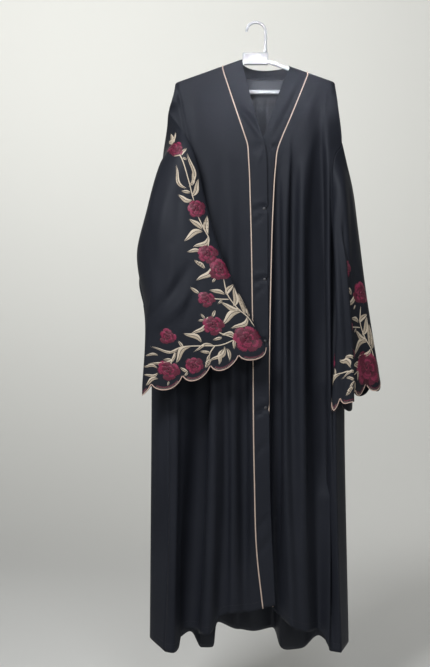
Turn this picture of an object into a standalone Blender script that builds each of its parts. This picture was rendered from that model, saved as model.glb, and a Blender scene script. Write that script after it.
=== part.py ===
"""Open-front abaya cloak on its plastic hanger: Blender 4.5, metres, +Z up.

The origin is the underside of the hook's top, where a rail carries the hanger. The wearer's right is at -X,
the front faces -Y. Every cloth piece is an outer surface of points with its wall inside, 0.3 mm from the next.
"""

import math

import bmesh
import bpy
import numpy as np
from mathutils import Matrix

# Driving dimensions
WALL = 0.0012
GAP = 0.0003
CORNER_MARGIN = 0.5
RIGHT_TIP = -0.2025
LEFT_TIP = 0.1975
RIDGE_TOP = -0.0765
RIDGE_SLOPE = 0.355
RIDGE_DEPTH = 0.008
RIDGE_DROP = 0.007
RIDGE_ROOM = 0.0006
PIPING_RADIUS = 0.0012
PIPING_PROUD = 0.0009
END_SHARE = 0.12
NECK_SEAM_ROOM = 0.0012
STUD_RADIUS = 0.004
STUD_THICKNESS = 0.0011
STUD_ROOM = 0.0004
STUD_SIDES = 16
SCALLOP_COUNT = 9
SCALLOP_DEPTH = 0.022
ARM_RADIUS = 0.0052
ARM_REACH = 0.1755
ARM_STARTS = (0.012, 0.090)
ARM_END_BULGE = 0.5
ARM_END_ANGLES = (0, 45, 90, 135, 180)
BAR_HEIGHT = -0.1705
BLOCK_SIZE = (0.064, 0.012, 0.030)
BLOCK_CENTRE = (-0.0015, 0.0, -0.0875)
BLOCK_EDGE = 0.002
HOOK_RADIUS = 0.0237
HOOK_TUBE = 0.0037
HOOK_TIP_ANGLE = 180.0
HOOK_POINTS = 13

# Rows of every body piece, from the shoulder down: over the hanger, to the armhole, beside it, and to the hem
WRAP_ANGLES = (0.0, 30.0, 60.0, 90.0)
YOKE_STEPS = 2
ARMHOLE_STEPS = 9
SKIRT_STEPS = 15
NECK_STEP = 0.004
SLEEVE_LINES = 8
SLEEVE_COLUMNS = 4 * SCALLOP_COUNT
SLEEVE_ROWS = 15

# Armholes, a row for each height: z, then x and y of the front edge, then x and y of the back edge
RIGHT_ARMHOLE = (
    (-0.218, -0.218, 0.000, -0.218, 0.000),
    (-0.255, -0.206, -0.010, -0.221, 0.014),
    (-0.320, -0.196, -0.018, -0.227, 0.024),
    (-0.420, -0.200, -0.026, -0.242, 0.028),
    (-0.505, -0.245, -0.014, -0.261, 0.016),
    (-0.540, -0.268, 0.000, -0.268, 0.000),
)
LEFT_ARMHOLE = (
    (-0.298, 0.215, 0.000, 0.215, 0.000),
    (-0.330, 0.196, -0.018, 0.219, 0.014),
    (-0.390, 0.189, -0.024, 0.226, 0.024),
    (-0.480, 0.191, -0.024, 0.232, 0.028),
    (-0.565, 0.210, -0.012, 0.230, 0.016),
    (-0.600, 0.223, 0.000, 0.223, 0.000),
)

# Side seams below the armholes: z, x, y
RIGHT_SIDE = (
    (-0.600, -0.258, -0.011),
    (-0.700, -0.238, -0.027),
    (-0.850, -0.222, -0.038),
    (-1.050, -0.216, -0.042),
    (-1.350, -0.218, -0.044),
    (-1.555, -0.224, -0.046),
)
LEFT_SIDE = (
    (-0.660, 0.214, -0.012),
    (-0.760, 0.200, -0.025),
    (-0.850, 0.194, -0.031),
    (-1.050, 0.192, -0.034),
    (-1.350, 0.197, -0.038),
    (-1.560, 0.206, -0.040),
)

# Seams of the front bands, with the piping in them, and the bands' free edges: z, x, y
RIGHT_SEAM = (
    (-0.115, -0.0835, -0.008),
    (-0.211, -0.0525, -0.018),
    (-0.280, -0.0300, -0.026),
    (-0.304, -0.0225, -0.028),
    (-0.340, -0.0195, -0.030),
    (-0.460, -0.0150, -0.034),
    (-0.740, -0.0100, -0.040),
    (-1.123, -0.0060, -0.047),
    (-1.312, 0.0000, -0.050),
    (-1.449, 0.0150, -0.050),
)
RIGHT_EDGE = (
    (-0.098, -0.0350, -0.008),
    (-0.130, -0.0270, -0.014),
    (-0.182, -0.0160, -0.021),
    (-0.225, -0.0045, -0.025),
    (-0.263, 0.0070, -0.028),
    (-0.295, 0.0185, -0.030),
    (-0.370, 0.0260, -0.033),
    (-0.640, 0.0275, -0.040),
    (-0.937, 0.0300, -0.046),
    (-1.182, 0.0330, -0.050),
    (-1.441, 0.0450, -0.050),
)
LEFT_SEAM = (
    (-0.130, 0.1285, -0.008),
    (-0.242, 0.0830, -0.019),
    (-0.296, 0.0600, -0.0235),
    (-0.316, 0.0530, -0.0245),
    (-0.360, 0.0475, -0.0265),
    (-0.464, 0.0410, -0.0295),
    (-0.659, 0.0350, -0.0345),
    (-0.987, 0.0300, -0.0410),
    (-1.250, 0.0290, -0.0440),
    (-1.446, 0.0400, -0.0420),
)
LEFT_EDGE = (
    (-0.108, 0.0840, -0.008),
    (-0.136, 0.0720, -0.014),
    (-0.169, 0.0600, -0.018),
    (-0.207, 0.0450, -0.021),
    (-0.250, 0.0310, -0.0235),
    (-0.290, 0.0170, -0.0250),
    (-0.350, 0.0030, -0.0280),
    (-0.640, -0.0005, -0.0354),
    (-1.180, 0.0010, -0.0450),
    (-1.440, 0.0080, -0.0440),
)

# Folds of a panel, a row for each line from the shoulder to the hem. Its x at the shoulder, chest, waist, knee
# and hem, its y at the chest, waist, knee and hem, and the height of the hem there
LEVELS = (-0.30, -0.65, -1.05)
RIGHT_FRONT_FOLDS = (
    (-0.095, -0.045, -0.036, -0.030, -0.020, -0.026, -0.035, -0.038, -0.040, -1.461),
    (-0.108, -0.070, -0.062, -0.058, -0.062, -0.026, -0.041, -0.048, -0.048, -1.462),
    (-0.122, -0.092, -0.083, -0.078, -0.090, -0.025, -0.034, -0.040, -0.036, -1.474),
    (-0.140, -0.118, -0.112, -0.108, -0.122, -0.025, -0.041, -0.054, -0.060, -1.512),
    (-0.160, -0.146, -0.150, -0.146, -0.164, -0.025, -0.028, -0.024, -0.016, -1.512),
    (-0.178, -0.168, -0.186, -0.182, -0.190, -0.021, -0.030, -0.034, -0.040, -1.540),
    (-0.190, -0.182, -0.208, -0.198, -0.206, -0.018, -0.036, -0.046, -0.054, -1.556),
)
LEFT_FRONT_FOLDS = (
    (0.140, 0.070, 0.048, 0.047, 0.058, -0.024, -0.027, -0.030, -0.026, -1.474),
    (0.150, 0.092, 0.070, 0.071, 0.086, -0.025, -0.038, -0.050, -0.060, -1.492),
    (0.159, 0.110, 0.086, 0.089, 0.105, -0.025, -0.028, -0.042, -0.052, -1.502),
    (0.170, 0.132, 0.107, 0.111, 0.127, -0.025, -0.038, -0.046, -0.046, -1.508),
    (0.179, 0.155, 0.137, 0.146, 0.152, -0.023, -0.020, -0.018, -0.014, -1.506),
    (0.186, 0.172, 0.172, 0.174, 0.182, -0.022, -0.031, -0.038, -0.046, -1.552),
)
BACK_FOLDS = (
    (0.192, 0.198, 0.219, 0.222, 0.232, 0.016, 0.000, 0.002, 0.004, -1.566),
    (0.184, 0.170, 0.188, 0.200, 0.206, 0.030, 0.036, 0.040, 0.046, -1.578),
    (0.160, 0.135, 0.150, 0.152, 0.160, 0.034, 0.030, 0.036, 0.040, -1.540),
    (0.129, 0.108, 0.116, 0.114, 0.118, 0.034, 0.046, 0.062, 0.074, -1.570),
    (0.126, 0.096, 0.100, 0.096, 0.098, 0.034, 0.044, 0.060, 0.070, -1.574),
    (0.100, 0.074, 0.076, 0.070, 0.070, 0.034, 0.036, 0.044, 0.050, -1.568),
    (0.062, 0.044, 0.040, 0.038, 0.036, 0.034, 0.052, 0.074, 0.092, -1.530),
    (0.020, 0.012, 0.006, 0.000, -0.002, 0.034, 0.040, 0.056, 0.070, -1.546),
    (-0.020, -0.020, -0.030, -0.038, -0.044, 0.034, 0.052, 0.076, 0.094, -1.528),
    (-0.060, -0.058, -0.070, -0.080, -0.086, 0.034, 0.038, 0.048, 0.056, -1.516),
    (-0.081, -0.076, -0.090, -0.102, -0.110, 0.034, 0.046, 0.060, 0.072, -1.560),
    (-0.084, -0.092, -0.112, -0.122, -0.132, 0.034, 0.050, 0.068, 0.080, -1.570),
    (-0.130, -0.128, -0.154, -0.164, -0.174, 0.034, 0.034, 0.038, 0.042, -1.530),
    (-0.172, -0.166, -0.200, -0.208, -0.214, 0.032, 0.042, 0.050, 0.056, -1.562),
    (-0.192, -0.196, -0.258, -0.262, -0.266, 0.016, 0.002, 0.004, 0.006, -1.556),
)

# Neck of the back, a row for each back fold that starts there: x, y, z of the seam and of the band's upper edge
FIRST_NECK_FOLD = 4
NECK = (
    (0.124, 0.0098, -0.1232, 0.083, 0.009, -0.1030),
    (0.100, 0.022, -0.1310, 0.077, 0.027, -0.1040),
    (0.062, 0.028, -0.1340, 0.054, 0.038, -0.1060),
    (0.020, 0.029, -0.1345, 0.024, 0.041, -0.1075),
    (-0.020, 0.028, -0.1320, -0.006, 0.039, -0.1050),
    (-0.056, 0.022, -0.1240, -0.028, 0.027, -0.0985),
    (-0.079, 0.0098, -0.1082, -0.035, 0.009, -0.0925),
)

# Sleeves, a row for each section below the armhole: how far along it lies, then x, y and z of eight lines
# round it: the fold at the top line, three on the side that faces forward at the armhole, the underarm seam,
# and three on the other side
RIGHT_SLEEVE = (
    (0.15, (-0.163, -0.055, -0.311), (-0.178, -0.044, -0.385), (-0.202, -0.040, -0.470), (-0.250, -0.030, -0.560),
     (-0.274, -0.004, -0.600), (-0.262, 0.026, -0.500), (-0.242, 0.000, -0.365), (-0.199, -0.056, -0.318)),
    (0.35, (-0.127, -0.064, -0.448), (-0.165, -0.050, -0.500), (-0.222, -0.046, -0.560), (-0.286, -0.016, -0.620),
     (-0.284, -0.020, -0.655), (-0.294, -0.030, -0.565), (-0.256, -0.070, -0.486), (-0.190, -0.088, -0.462)),
    (0.60, (-0.086, -0.080, -0.588), (-0.150, -0.056, -0.622), (-0.220, -0.054, -0.650), (-0.272, -0.042, -0.690),
     (-0.272, -0.060, -0.725), (-0.252, -0.094, -0.675), (-0.205, -0.106, -0.634), (-0.148, -0.104, -0.608)),
    (0.80, (-0.034, -0.086, -0.700), (-0.100, -0.064, -0.730), (-0.170, -0.062, -0.758), (-0.238, -0.062, -0.786),
     (-0.272, -0.080, -0.806), (-0.228, -0.102, -0.777), (-0.168, -0.112, -0.746), (-0.102, -0.108, -0.722)),
    (1.00, (0.021, -0.088, -0.808), (-0.055, -0.070, -0.830), (-0.130, -0.066, -0.858), (-0.205, -0.068, -0.886),
     (-0.278, -0.086, -0.902), (-0.205, -0.104, -0.884), (-0.130, -0.110, -0.858), (-0.055, -0.106, -0.830)),
)
LEFT_SLEEVE = (
    (0.15, (0.236, 0.004, -0.390), (0.212, -0.036, -0.420), (0.190, -0.042, -0.500), (0.196, -0.040, -0.600),
     (0.226, -0.012, -0.650), (0.240, 0.026, -0.600), (0.246, 0.050, -0.520), (0.248, 0.042, -0.440)),
    (0.35, (0.254, 0.010, -0.510), (0.228, -0.040, -0.530), (0.196, -0.056, -0.590), (0.187, -0.056, -0.660),
     (0.206, -0.044, -0.715), (0.238, 0.010, -0.680), (0.246, 0.066, -0.620), (0.262, 0.062, -0.560)),
    (0.60, (0.272, 0.016, -0.660), (0.242, -0.036, -0.670), (0.214, -0.062, -0.710), (0.190, -0.066, -0.750),
     (0.194, -0.050, -0.790), (0.236, -0.006, -0.780), (0.246, 0.084, -0.745), (0.274, 0.084, -0.700)),
    (0.80, (0.290, 0.022, -0.780), (0.254, -0.030, -0.785), (0.224, -0.064, -0.815), (0.190, -0.070, -0.845),
     (0.188, -0.052, -0.870), (0.238, -0.010, -0.870), (0.248, 0.100, -0.850), (0.286, 0.104, -0.815)),
    (1.00, (0.310, 0.028, -0.896), (0.266, -0.028, -0.898), (0.232, -0.064, -0.918), (0.190, -0.070, -0.938),
     (0.187, -0.052, -0.944), (0.238, -0.010, -0.944), (0.252, 0.112, -0.930), (0.300, 0.120, -0.908)),
)

# Press studs: z, x of each
STUDS = ((-0.308, 0.0145), (-0.466, 0.019), (-0.641, 0.020), (-0.793, 0.021), (-0.957, 0.022))


def smooth(knots, values, at, loose=False):
    """Cubic curve through the values, read at other places; it never overshoots a crest unless it is loose."""
    knots, values, at = np.asarray(knots, float), np.asarray(values, float), np.asarray(at, float)
    shape = (-1,) + (1,) * (values.ndim - 1)
    steps = np.diff(knots).reshape(shape)
    slopes = np.diff(values, axis=0) / steps
    before, after = slopes[:-1], slopes[1:]
    near, far = steps[1:], steps[:-1]
    middle = (before * near + after * far) / (near + far)
    if not loose:
        limit = 3.0 * np.minimum(np.abs(before), np.abs(after))
        middle = np.where(before * after > 0.0, np.clip(middle, -limit, limit), 0.0)
    tangents = np.concatenate([slopes[:1], middle, slopes[-1:]])
    cell = np.clip(np.searchsorted(knots, at, side="right") - 1, 0, len(knots) - 2)
    width = steps[cell]
    s = ((at - knots[cell]) / np.diff(knots)[cell]).reshape(shape)
    return (
        values[cell] * (1 + 2 * s) * (1 - s) ** 2
        + values[cell + 1] * s * s * (3 - 2 * s)
        + tangents[cell] * width * s * (1 - s) ** 2
        + tangents[cell + 1] * width * s * s * (s - 1)
    )


def down(table, heights):
    """A table whose first column is z, read at falling heights: the other columns there."""
    table = np.array(table)
    return smooth(-table[:, 0], table[:, 1:], -np.asarray(heights))


def unit(vectors):
    return vectors / np.linalg.norm(vectors, axis=-1, keepdims=True)


def seam_room(before, seam, after, along):
    """Way across a seam, and how far each wall stops short of it so that two inner corners stay apart."""
    along = unit(along)

    def square(way):
        return unit(way - along * np.sum(way * along, axis=-1, keepdims=True))

    arrive, leave = square(seam - before), square(after - seam)
    across = unit(arrive + leave)
    half_turn = np.arccos(np.clip(np.sum(arrive * across, axis=-1), -1.0, 1.0))
    room = GAP / 2 + WALL * np.sin(half_turn) * (1 + CORNER_MARGIN * np.sin(half_turn))
    return across, room[..., None]


def ridge(x):
    """Height of the cloth where it lies over the hanger."""
    return RIDGE_TOP - RIDGE_SLOPE * abs(x)


def row_heights(top, armhole_top, underarm, hem):
    """Heights of the rows below the wrap."""
    yoke = np.linspace(top, armhole_top, YOKE_STEPS + 1)[1:]
    beside = np.linspace(armhole_top, underarm, ARMHOLE_STEPS + 1)[1:]
    skirt = np.linspace(underarm, hem, SKIRT_STEPS + 1)[1:]
    return np.concatenate([yoke, beside, skirt])


def shoulder_wrap(x, depth, side):
    """Rows of one line over the hanger, from the ridge to the upright cloth: side is -1 in front, 1 behind."""
    angles = np.radians(WRAP_ANGLES)
    y = side * (RIDGE_ROOM + (depth - RIDGE_ROOM) * np.sin(angles))
    z = ridge(x) - RIDGE_DROP * (1 - np.cos(angles))
    return np.stack([np.full_like(y, x), y, z], axis=1)


def line_below(table, top, side_heights, hem):
    """Rows of one line from the wrap to the hem, through a table of z, x and y."""
    heights = row_heights(top, side_heights[0], side_heights[1], hem)
    return np.column_stack([down(table, heights), heights])


def fold_line(fold, side_heights, side):
    """One fold of a panel that hangs from the shoulder."""
    x_top, x_levels, y_levels, hem = fold[0], fold[1:5], fold[5:9], fold[9]
    wrap = shoulder_wrap(x_top, RIDGE_DEPTH, side)
    heights = (wrap[-1, 2],) + LEVELS + (hem,)
    table = np.column_stack([heights, (x_top,) + x_levels, (side * RIDGE_DEPTH,) + y_levels])
    return np.concatenate([wrap, line_below(table, wrap[-1, 2], side_heights, hem)])


def neck_line(fold, side_heights, neck):
    """One fold of the back that hangs from the neck seam, where it starts behind the hanger."""
    x_levels, y_levels, hem = fold[1:5], fold[5:9], fold[9]
    start = np.array(neck)
    rows = start + np.outer(np.arange(len(WRAP_ANGLES)), (0.0, 0.0, -NECK_STEP))
    heights = (rows[-1, 2],) + LEVELS + (hem,)
    table = np.column_stack([heights, (start[0],) + x_levels, (start[1],) + y_levels])
    return np.concatenate([rows, line_below(table, rows[-1, 2], side_heights, hem)])


def seam_line(seam, side_heights):
    """One edge of a front band, from the ridge down to the hem."""
    wrap = shoulder_wrap(seam[0][1], RIDGE_DEPTH, -1)
    return np.concatenate([wrap, line_below(seam, wrap[-1, 2], side_heights, seam[-1][0])])


def side_line(armhole, side_seam, tip_x, side):
    """Outer edge of a panel: over the hanger's end, down the dropped shoulder, the armhole and the side seam."""
    wrap = shoulder_wrap(tip_x, RIDGE_ROOM, side)
    column = 1 if side < 0 else 3
    rows = [(wrap[-1, 2], tip_x, 0.0)]
    rows += [(row[0], row[column], row[column + 1]) for row in armhole]
    rows += list(side_seam)
    side_heights = (armhole[0][0], armhole[-1][0])
    return np.concatenate([wrap, line_below(rows, wrap[-1, 2], side_heights, side_seam[-1][0])])


def between_lines(lines, steps=2, loose=False):
    """Points across a piece, with extra columns between its lines."""
    count = len(lines)
    return smooth(np.arange(count), np.array(lines), np.linspace(0, count - 1, (count - 1) * steps + 1), loose)


def part_side_seam(front_lines, back_lines):
    """Moves the last front line and the first back line apart where they are sewn to each other."""
    front, back = front_lines[-1], back_lines[0]
    seam = (front + back) / 2
    across, room = seam_room(front_lines[-2], seam, back_lines[1], np.gradient(seam, axis=0))
    sewn = np.linalg.norm(front - back, axis=1, keepdims=True) < 2 * WALL
    front_lines[-1] = np.where(sewn, seam - across * room, front)
    back_lines[0] = np.where(sewn, seam + across * room, back)


def part_band_seam(panel_lines, seam, band_lines):
    """Draws a panel and a band back from the piping between them."""
    across, room = seam_room(panel_lines[1], seam, band_lines[1], np.gradient(seam, axis=0))
    reach = PIPING_RADIUS + GAP + room
    panel_lines[0] = seam - across * reach
    band_lines[0] = seam + across * reach


def collection(name):
    made = bpy.data.collections.new(name)
    bpy.context.scene.collection.children.link(made)
    return made


def material(name, colour, roughness, metallic=0.0):
    made = bpy.data.materials.new(name)
    made.use_nodes = True
    shader = made.node_tree.nodes["Principled BSDF"]
    shader.inputs["Base Color"].default_value = (*colour, 1.0)
    shader.inputs["Roughness"].default_value = roughness
    shader.inputs["Metallic"].default_value = metallic
    return made


def add_object(name, data, finish):
    data.materials.clear()
    data.materials.append(finish)
    piece = bpy.data.objects.new(name, data)
    abaya.objects.link(piece)
    return piece


def cloth_wall(name, points, finish, ring=False, outside_in=False):
    """A wall on a grid of points, lines by rows, triangulated first so that both its faces match."""
    lines, rows = points.shape[:2]
    shell = bmesh.new()
    corners = [[shell.verts.new(point) for point in line] for line in points]
    for i in range(lines if ring else lines - 1):
        left, right = corners[i], corners[(i + 1) % lines]
        for j in range(rows - 1):
            face = (left[j], right[j], right[j + 1], left[j + 1])
            shell.faces.new(face[::-1] if outside_in else face)
    bmesh.ops.triangulate(shell, faces=shell.faces[:])
    mesh = bpy.data.meshes.new(name)
    shell.to_mesh(mesh)
    shell.free()
    mesh.shade_smooth()
    piece = add_object(name, mesh, finish)
    wall = piece.modifiers.new("wall", "SOLIDIFY")
    wall.thickness = WALL
    wall.offset = -1.0
    return piece


def tube(name, points, radius, finish, closed=False):
    curve = bpy.data.curves.new(name, "CURVE")
    curve.dimensions = "3D"
    curve.bevel_depth = radius
    curve.bevel_resolution = 2
    curve.use_fill_caps = True
    run = curve.splines.new("POLY")
    run.points.add(len(points) - 1)
    run.points.foreach_set("co", np.column_stack([points, np.ones(len(points))]).ravel())
    run.use_cyclic_u = closed
    return add_object(name, curve, finish)


def cord_surface(seam, before, after):
    """The piping's centre line: the seam, a little under the cloth's outside."""
    outward = unit(np.cross(np.gradient(seam, axis=0), after - before))
    cord = seam - outward * (PIPING_RADIUS - PIPING_PROUD)
    cord[0] += (cord[1] - cord[0]) * END_SHARE
    return cord


# The body: two fronts, a back, and the bands along the front opening and round the neck
def build_body(cloth, trim):
    right_heights = (RIGHT_ARMHOLE[0][0], RIGHT_ARMHOLE[-1][0])
    left_heights = (LEFT_ARMHOLE[0][0], LEFT_ARMHOLE[-1][0])

    right_seam = seam_line(RIGHT_SEAM, right_heights)
    right_front = [right_seam] + [fold_line(fold, right_heights, -1) for fold in RIGHT_FRONT_FOLDS]
    right_front.append(side_line(RIGHT_ARMHOLE, RIGHT_SIDE, RIGHT_TIP, -1))
    left_seam = seam_line(LEFT_SEAM, left_heights)
    left_front = [left_seam] + [fold_line(fold, left_heights, -1) for fold in LEFT_FRONT_FOLDS]
    left_front.append(side_line(LEFT_ARMHOLE, LEFT_SIDE, LEFT_TIP, -1))

    back = [side_line(LEFT_ARMHOLE, LEFT_SIDE, LEFT_TIP, 1)]
    for number, fold in enumerate(BACK_FOLDS):
        share = (number + 1) / (len(BACK_FOLDS) + 1)
        heights = tuple(np.array(left_heights) * (1 - share) + np.array(right_heights) * share)
        neck_number = number - FIRST_NECK_FOLD
        if 0 <= neck_number < len(NECK):
            back.append(neck_line(fold, heights, NECK[neck_number][:3]))
        else:
            back.append(fold_line(fold, heights, 1))
    back.append(side_line(RIGHT_ARMHOLE, RIGHT_SIDE, RIGHT_TIP, 1))

    right_band = [right_seam, seam_line(RIGHT_EDGE, right_heights)]
    left_band = [left_seam, seam_line(LEFT_EDGE, left_heights)]

    part_side_seam(left_front, back)
    back.reverse()
    part_side_seam(right_front, back)
    back.reverse()
    right_cord = cord_surface(right_seam, right_front[1], right_band[1])
    left_cord = cord_surface(left_seam, left_band[1], left_front[1])
    part_band_seam(right_front, right_seam, right_band)
    part_band_seam(left_front, left_seam, left_band)

    neck_seam = [back[FIRST_NECK_FOLD + k][0] for k in range(len(NECK) + 2)]
    neck_edge = [(LEFT_EDGE[0][1], RIDGE_ROOM, ridge(LEFT_EDGE[0][1]))] + [row[3:] for row in NECK]
    neck_edge.append((RIGHT_EDGE[0][1], RIDGE_ROOM, ridge(RIGHT_EDGE[0][1])))
    neck_seam, neck_edge = between_lines(neck_seam), between_lines(neck_edge)
    across = unit(neck_edge - neck_seam)
    reach = PIPING_RADIUS + NECK_SEAM_ROOM
    neck_rows = [neck_seam + across * reach * 2, (neck_seam + neck_edge) / 2, neck_edge]
    neck_cord = cord_surface(neck_seam + across * reach, neck_edge, neck_seam)

    cloth_wall("back_neck_band", between_lines(neck_rows), cloth)
    tube("back_neck_piping", neck_cord, PIPING_RADIUS, trim)
    cloth_wall("right_front", between_lines(right_front), cloth)
    cloth_wall("left_front", between_lines(left_front), cloth, outside_in=True)
    cloth_wall("back_panel", between_lines(back), cloth, outside_in=True)
    cloth_wall("right_band", between_lines(right_band, 3), cloth, outside_in=True)
    cloth_wall("left_band", between_lines(left_band, 3), cloth)
    tube("right_piping", right_cord, PIPING_RADIUS, trim)
    tube("left_piping", left_cord, PIPING_RADIUS, trim)
    right_armhole = (right_front[-1], back[-1], right_front[-2], back[-2])
    left_armhole = (left_front[-1], back[0], left_front[-2], back[1])
    return right_armhole, left_armhole, right_band, left_band


def armhole_loop(front, behind):
    """Points round an armhole, from its top down the front and up the back, from two lines of a body's rows."""
    first = len(WRAP_ANGLES) + YOKE_STEPS - 1
    places = first + np.linspace(0, ARMHOLE_STEPS, SLEEVE_COLUMNS // 2 + 1)
    rows = np.arange(len(front))
    down_front = np.column_stack([np.interp(places, rows, front[:, k]) for k in range(3)])
    down_back = np.column_stack([np.interp(places, rows, behind[:, k]) for k in range(3)])
    for end in (0, -1):
        down_front[end] = (down_front[end] + down_back[end]) / 2
    return np.concatenate([down_front, down_back[::-1][1:-1]])


def sleeve_points(armhole_lines, sections):
    """Rings of a sleeve, from its armhole to the scalloped hem."""
    front_edge, back_edge, front_beside, back_beside = armhole_lines
    armhole = armhole_loop(front_edge, back_edge)

    columns = np.arange(SLEEVE_COLUMNS)
    around = columns * SLEEVE_LINES / SLEEVE_COLUMNS
    rings = [armhole]
    for section in sections:
        lines = np.array(section[1:])
        wrapped = np.concatenate([lines[-2:], lines, lines[:3]])
        rings.append(smooth(np.arange(-2, SLEEVE_LINES + 3), wrapped, around, loose=True))
    wave = np.abs(np.sin(np.pi * SCALLOP_COUNT * columns / SLEEVE_COLUMNS))
    rings[-1][:, 2] -= SCALLOP_DEPTH * np.sqrt(wave)
    places = [0.0] + [section[0] for section in sections]
    rows = smooth(places, np.array(rings), np.linspace(0, 1, SLEEVE_ROWS + 1), loose=True)

    along = np.roll(armhole, -1, axis=0) - np.roll(armhole, 1, axis=0)
    across, room = seam_room(armhole_loop(front_beside, back_beside), armhole, rows[1], along)
    room[[0, SLEEVE_COLUMNS // 2]] += WALL / 2
    rows[0] = armhole + across * room * 2
    return rows.transpose(1, 0, 2)


# Sleeves: each a tube set in its armhole, with a scalloped hem
def build_sleeves(cloth, right_armhole, left_armhole):
    cloth_wall("right_sleeve", sleeve_points(right_armhole, RIGHT_SLEEVE), cloth, ring=True)
    cloth_wall("left_sleeve", sleeve_points(left_armhole, LEFT_SLEEVE), cloth, ring=True, outside_in=True)


def band_depth(band, x, z):
    """y of a front band's outside at a place on it, between its two edge lines."""
    ends = [[np.interp(-z, -line[:, 2], line[:, k]) for k in range(2)] for line in band]
    (seam_x, seam_y), (edge_x, edge_y) = ends
    return seam_y + (edge_y - seam_y) * (x - seam_x) / (edge_x - seam_x)


# Press studs: a stud inside the upper band and its socket on the under band
def build_studs(steel, right_band, left_band):
    for number, (z, x) in enumerate(STUDS, start=1):
        stud_y = band_depth(right_band, x, z) + WALL + STUD_ROOM + STUD_THICKNESS / 2
        socket_y = band_depth(left_band, x, z) - STUD_ROOM - STUD_THICKNESS / 2
        for kind, y in (("stud", stud_y), ("socket", socket_y)):
            disc = bmesh.new()
            bmesh.ops.create_cone(disc, cap_ends=True, segments=STUD_SIDES, radius1=STUD_RADIUS,
                                  radius2=STUD_RADIUS, depth=STUD_THICKNESS)
            mesh = bpy.data.meshes.new(f"press_{kind}_{number}")
            disc.to_mesh(mesh)
            disc.free()
            piece = add_object(f"press_{kind}_{number}", mesh, steel)
            piece.location = (x, y, z)
            piece.rotation_euler = (math.radians(90.0), 0.0, 0.0)


# Hanger: one moulding of block, arms and trouser bar, with the hook in its block
def build_hanger(plastic):
    slope_length = math.hypot(1.0, RIDGE_SLOPE)
    arm_drop = (2 * PIPING_RADIUS - PIPING_PROUD + GAP + ARM_RADIUS) * slope_length

    def arm_height(x):
        return ridge(x) - arm_drop

    half = [(x, 0.0, arm_height(x)) for x in ARM_STARTS]
    end_middle = (arm_height(ARM_REACH) + BAR_HEIGHT) / 2
    end_radius = arm_height(ARM_REACH) - end_middle
    for angle in np.radians(ARM_END_ANGLES):
        bulge = ARM_END_BULGE * end_radius * math.sin(angle)
        half.append((ARM_REACH + bulge, 0.0, end_middle + end_radius * math.cos(angle)))
    loop = half + [(-x, y, z) for x, y, z in half[::-1]]
    arms = tube("hanger_arms", loop, ARM_RADIUS, plastic, closed=True)
    shape = bpy.data.meshes.new_from_object(arms.evaluated_get(bpy.context.evaluated_depsgraph_get()))
    bpy.data.objects.remove(arms)
    frame = add_object("hanger_frame", shape, plastic)

    bpy.ops.mesh.primitive_cube_add(size=1.0, location=BLOCK_CENTRE)
    block = bpy.context.active_object
    block.name = "hanger_block"
    for owner in list(block.users_collection):
        owner.objects.unlink(block)
    cutters.objects.link(block)
    block.data.transform(Matrix.Diagonal((*BLOCK_SIZE, 1.0)))
    block.hide_render = True
    block.display_type = "WIRE"
    edges = block.modifiers.new("edges", "BEVEL")
    edges.width = BLOCK_EDGE
    edges.segments = 2
    join = frame.modifiers.new("block", "BOOLEAN")
    join.operation = "UNION"
    join.object = block

    block_top = BLOCK_CENTRE[2] + BLOCK_SIZE[2] / 2
    hook_centre = HOOK_TUBE - HOOK_RADIUS
    turns = np.radians(np.linspace(0.0, HOOK_TIP_ANGLE, HOOK_POINTS))
    run = [(HOOK_RADIUS, 0.0, block_top + GAP)]
    run += [(HOOK_RADIUS * math.cos(a), 0.0, hook_centre + HOOK_RADIUS * math.sin(a)) for a in turns]
    tube("hanger_hook", run, HOOK_TUBE, plastic)


for old in list(bpy.data.objects):
    bpy.data.objects.remove(old, do_unlink=True)

abaya = collection("abaya_cloak")
cutters = collection("abaya_cutters")
cloth = material("abaya_cloth", (0.012, 0.013, 0.017), 0.85)
trim = material("piping", (0.62, 0.42, 0.34), 0.6)
steel = material("press_stud", (0.6, 0.6, 0.62), 0.35, 1.0)
plastic = material("hanger_plastic", (0.85, 0.86, 0.88), 0.35)

right_armhole, left_armhole, right_band, left_band = build_body(cloth, trim)
build_sleeves(cloth, right_armhole, left_armhole)
build_studs(steel, right_band, left_band)
build_hanger(plastic)
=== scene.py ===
"""Open-front abaya cloak in black crepe with embroidered sleeves, on its plastic coat hanger."""

import math

import bmesh
import bpy
import numpy as np
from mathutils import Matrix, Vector


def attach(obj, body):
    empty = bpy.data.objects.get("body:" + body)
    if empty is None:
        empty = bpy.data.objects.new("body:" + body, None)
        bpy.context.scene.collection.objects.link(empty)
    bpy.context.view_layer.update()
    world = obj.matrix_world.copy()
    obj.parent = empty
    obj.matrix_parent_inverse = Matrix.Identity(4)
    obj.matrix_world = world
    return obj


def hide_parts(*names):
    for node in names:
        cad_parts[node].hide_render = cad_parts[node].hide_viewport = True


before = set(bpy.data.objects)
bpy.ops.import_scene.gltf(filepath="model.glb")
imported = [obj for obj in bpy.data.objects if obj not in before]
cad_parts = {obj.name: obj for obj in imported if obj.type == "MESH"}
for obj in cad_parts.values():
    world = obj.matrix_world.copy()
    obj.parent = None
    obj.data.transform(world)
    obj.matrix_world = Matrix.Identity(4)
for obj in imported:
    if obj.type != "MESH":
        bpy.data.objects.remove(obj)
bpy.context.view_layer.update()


# Studio: a pale floor that curves up into a pale wall all round, a broad soft lamp high in front and to
# the left of the cloak, two weak ones that open the shadows and the neck, and two that wash the wall and
# the back.
FLOOR_HEIGHT = -1.74
FLOOR_REACH = 2.4
FLOOR_SIDES = 96
WALL_REACH = 7.0
WALL_TOP = 4.6


def set_up(name, data):
    """Puts a thing into the scene."""
    thing = bpy.data.objects.new(name, data)
    bpy.context.scene.collection.objects.link(thing)
    return thing


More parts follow.
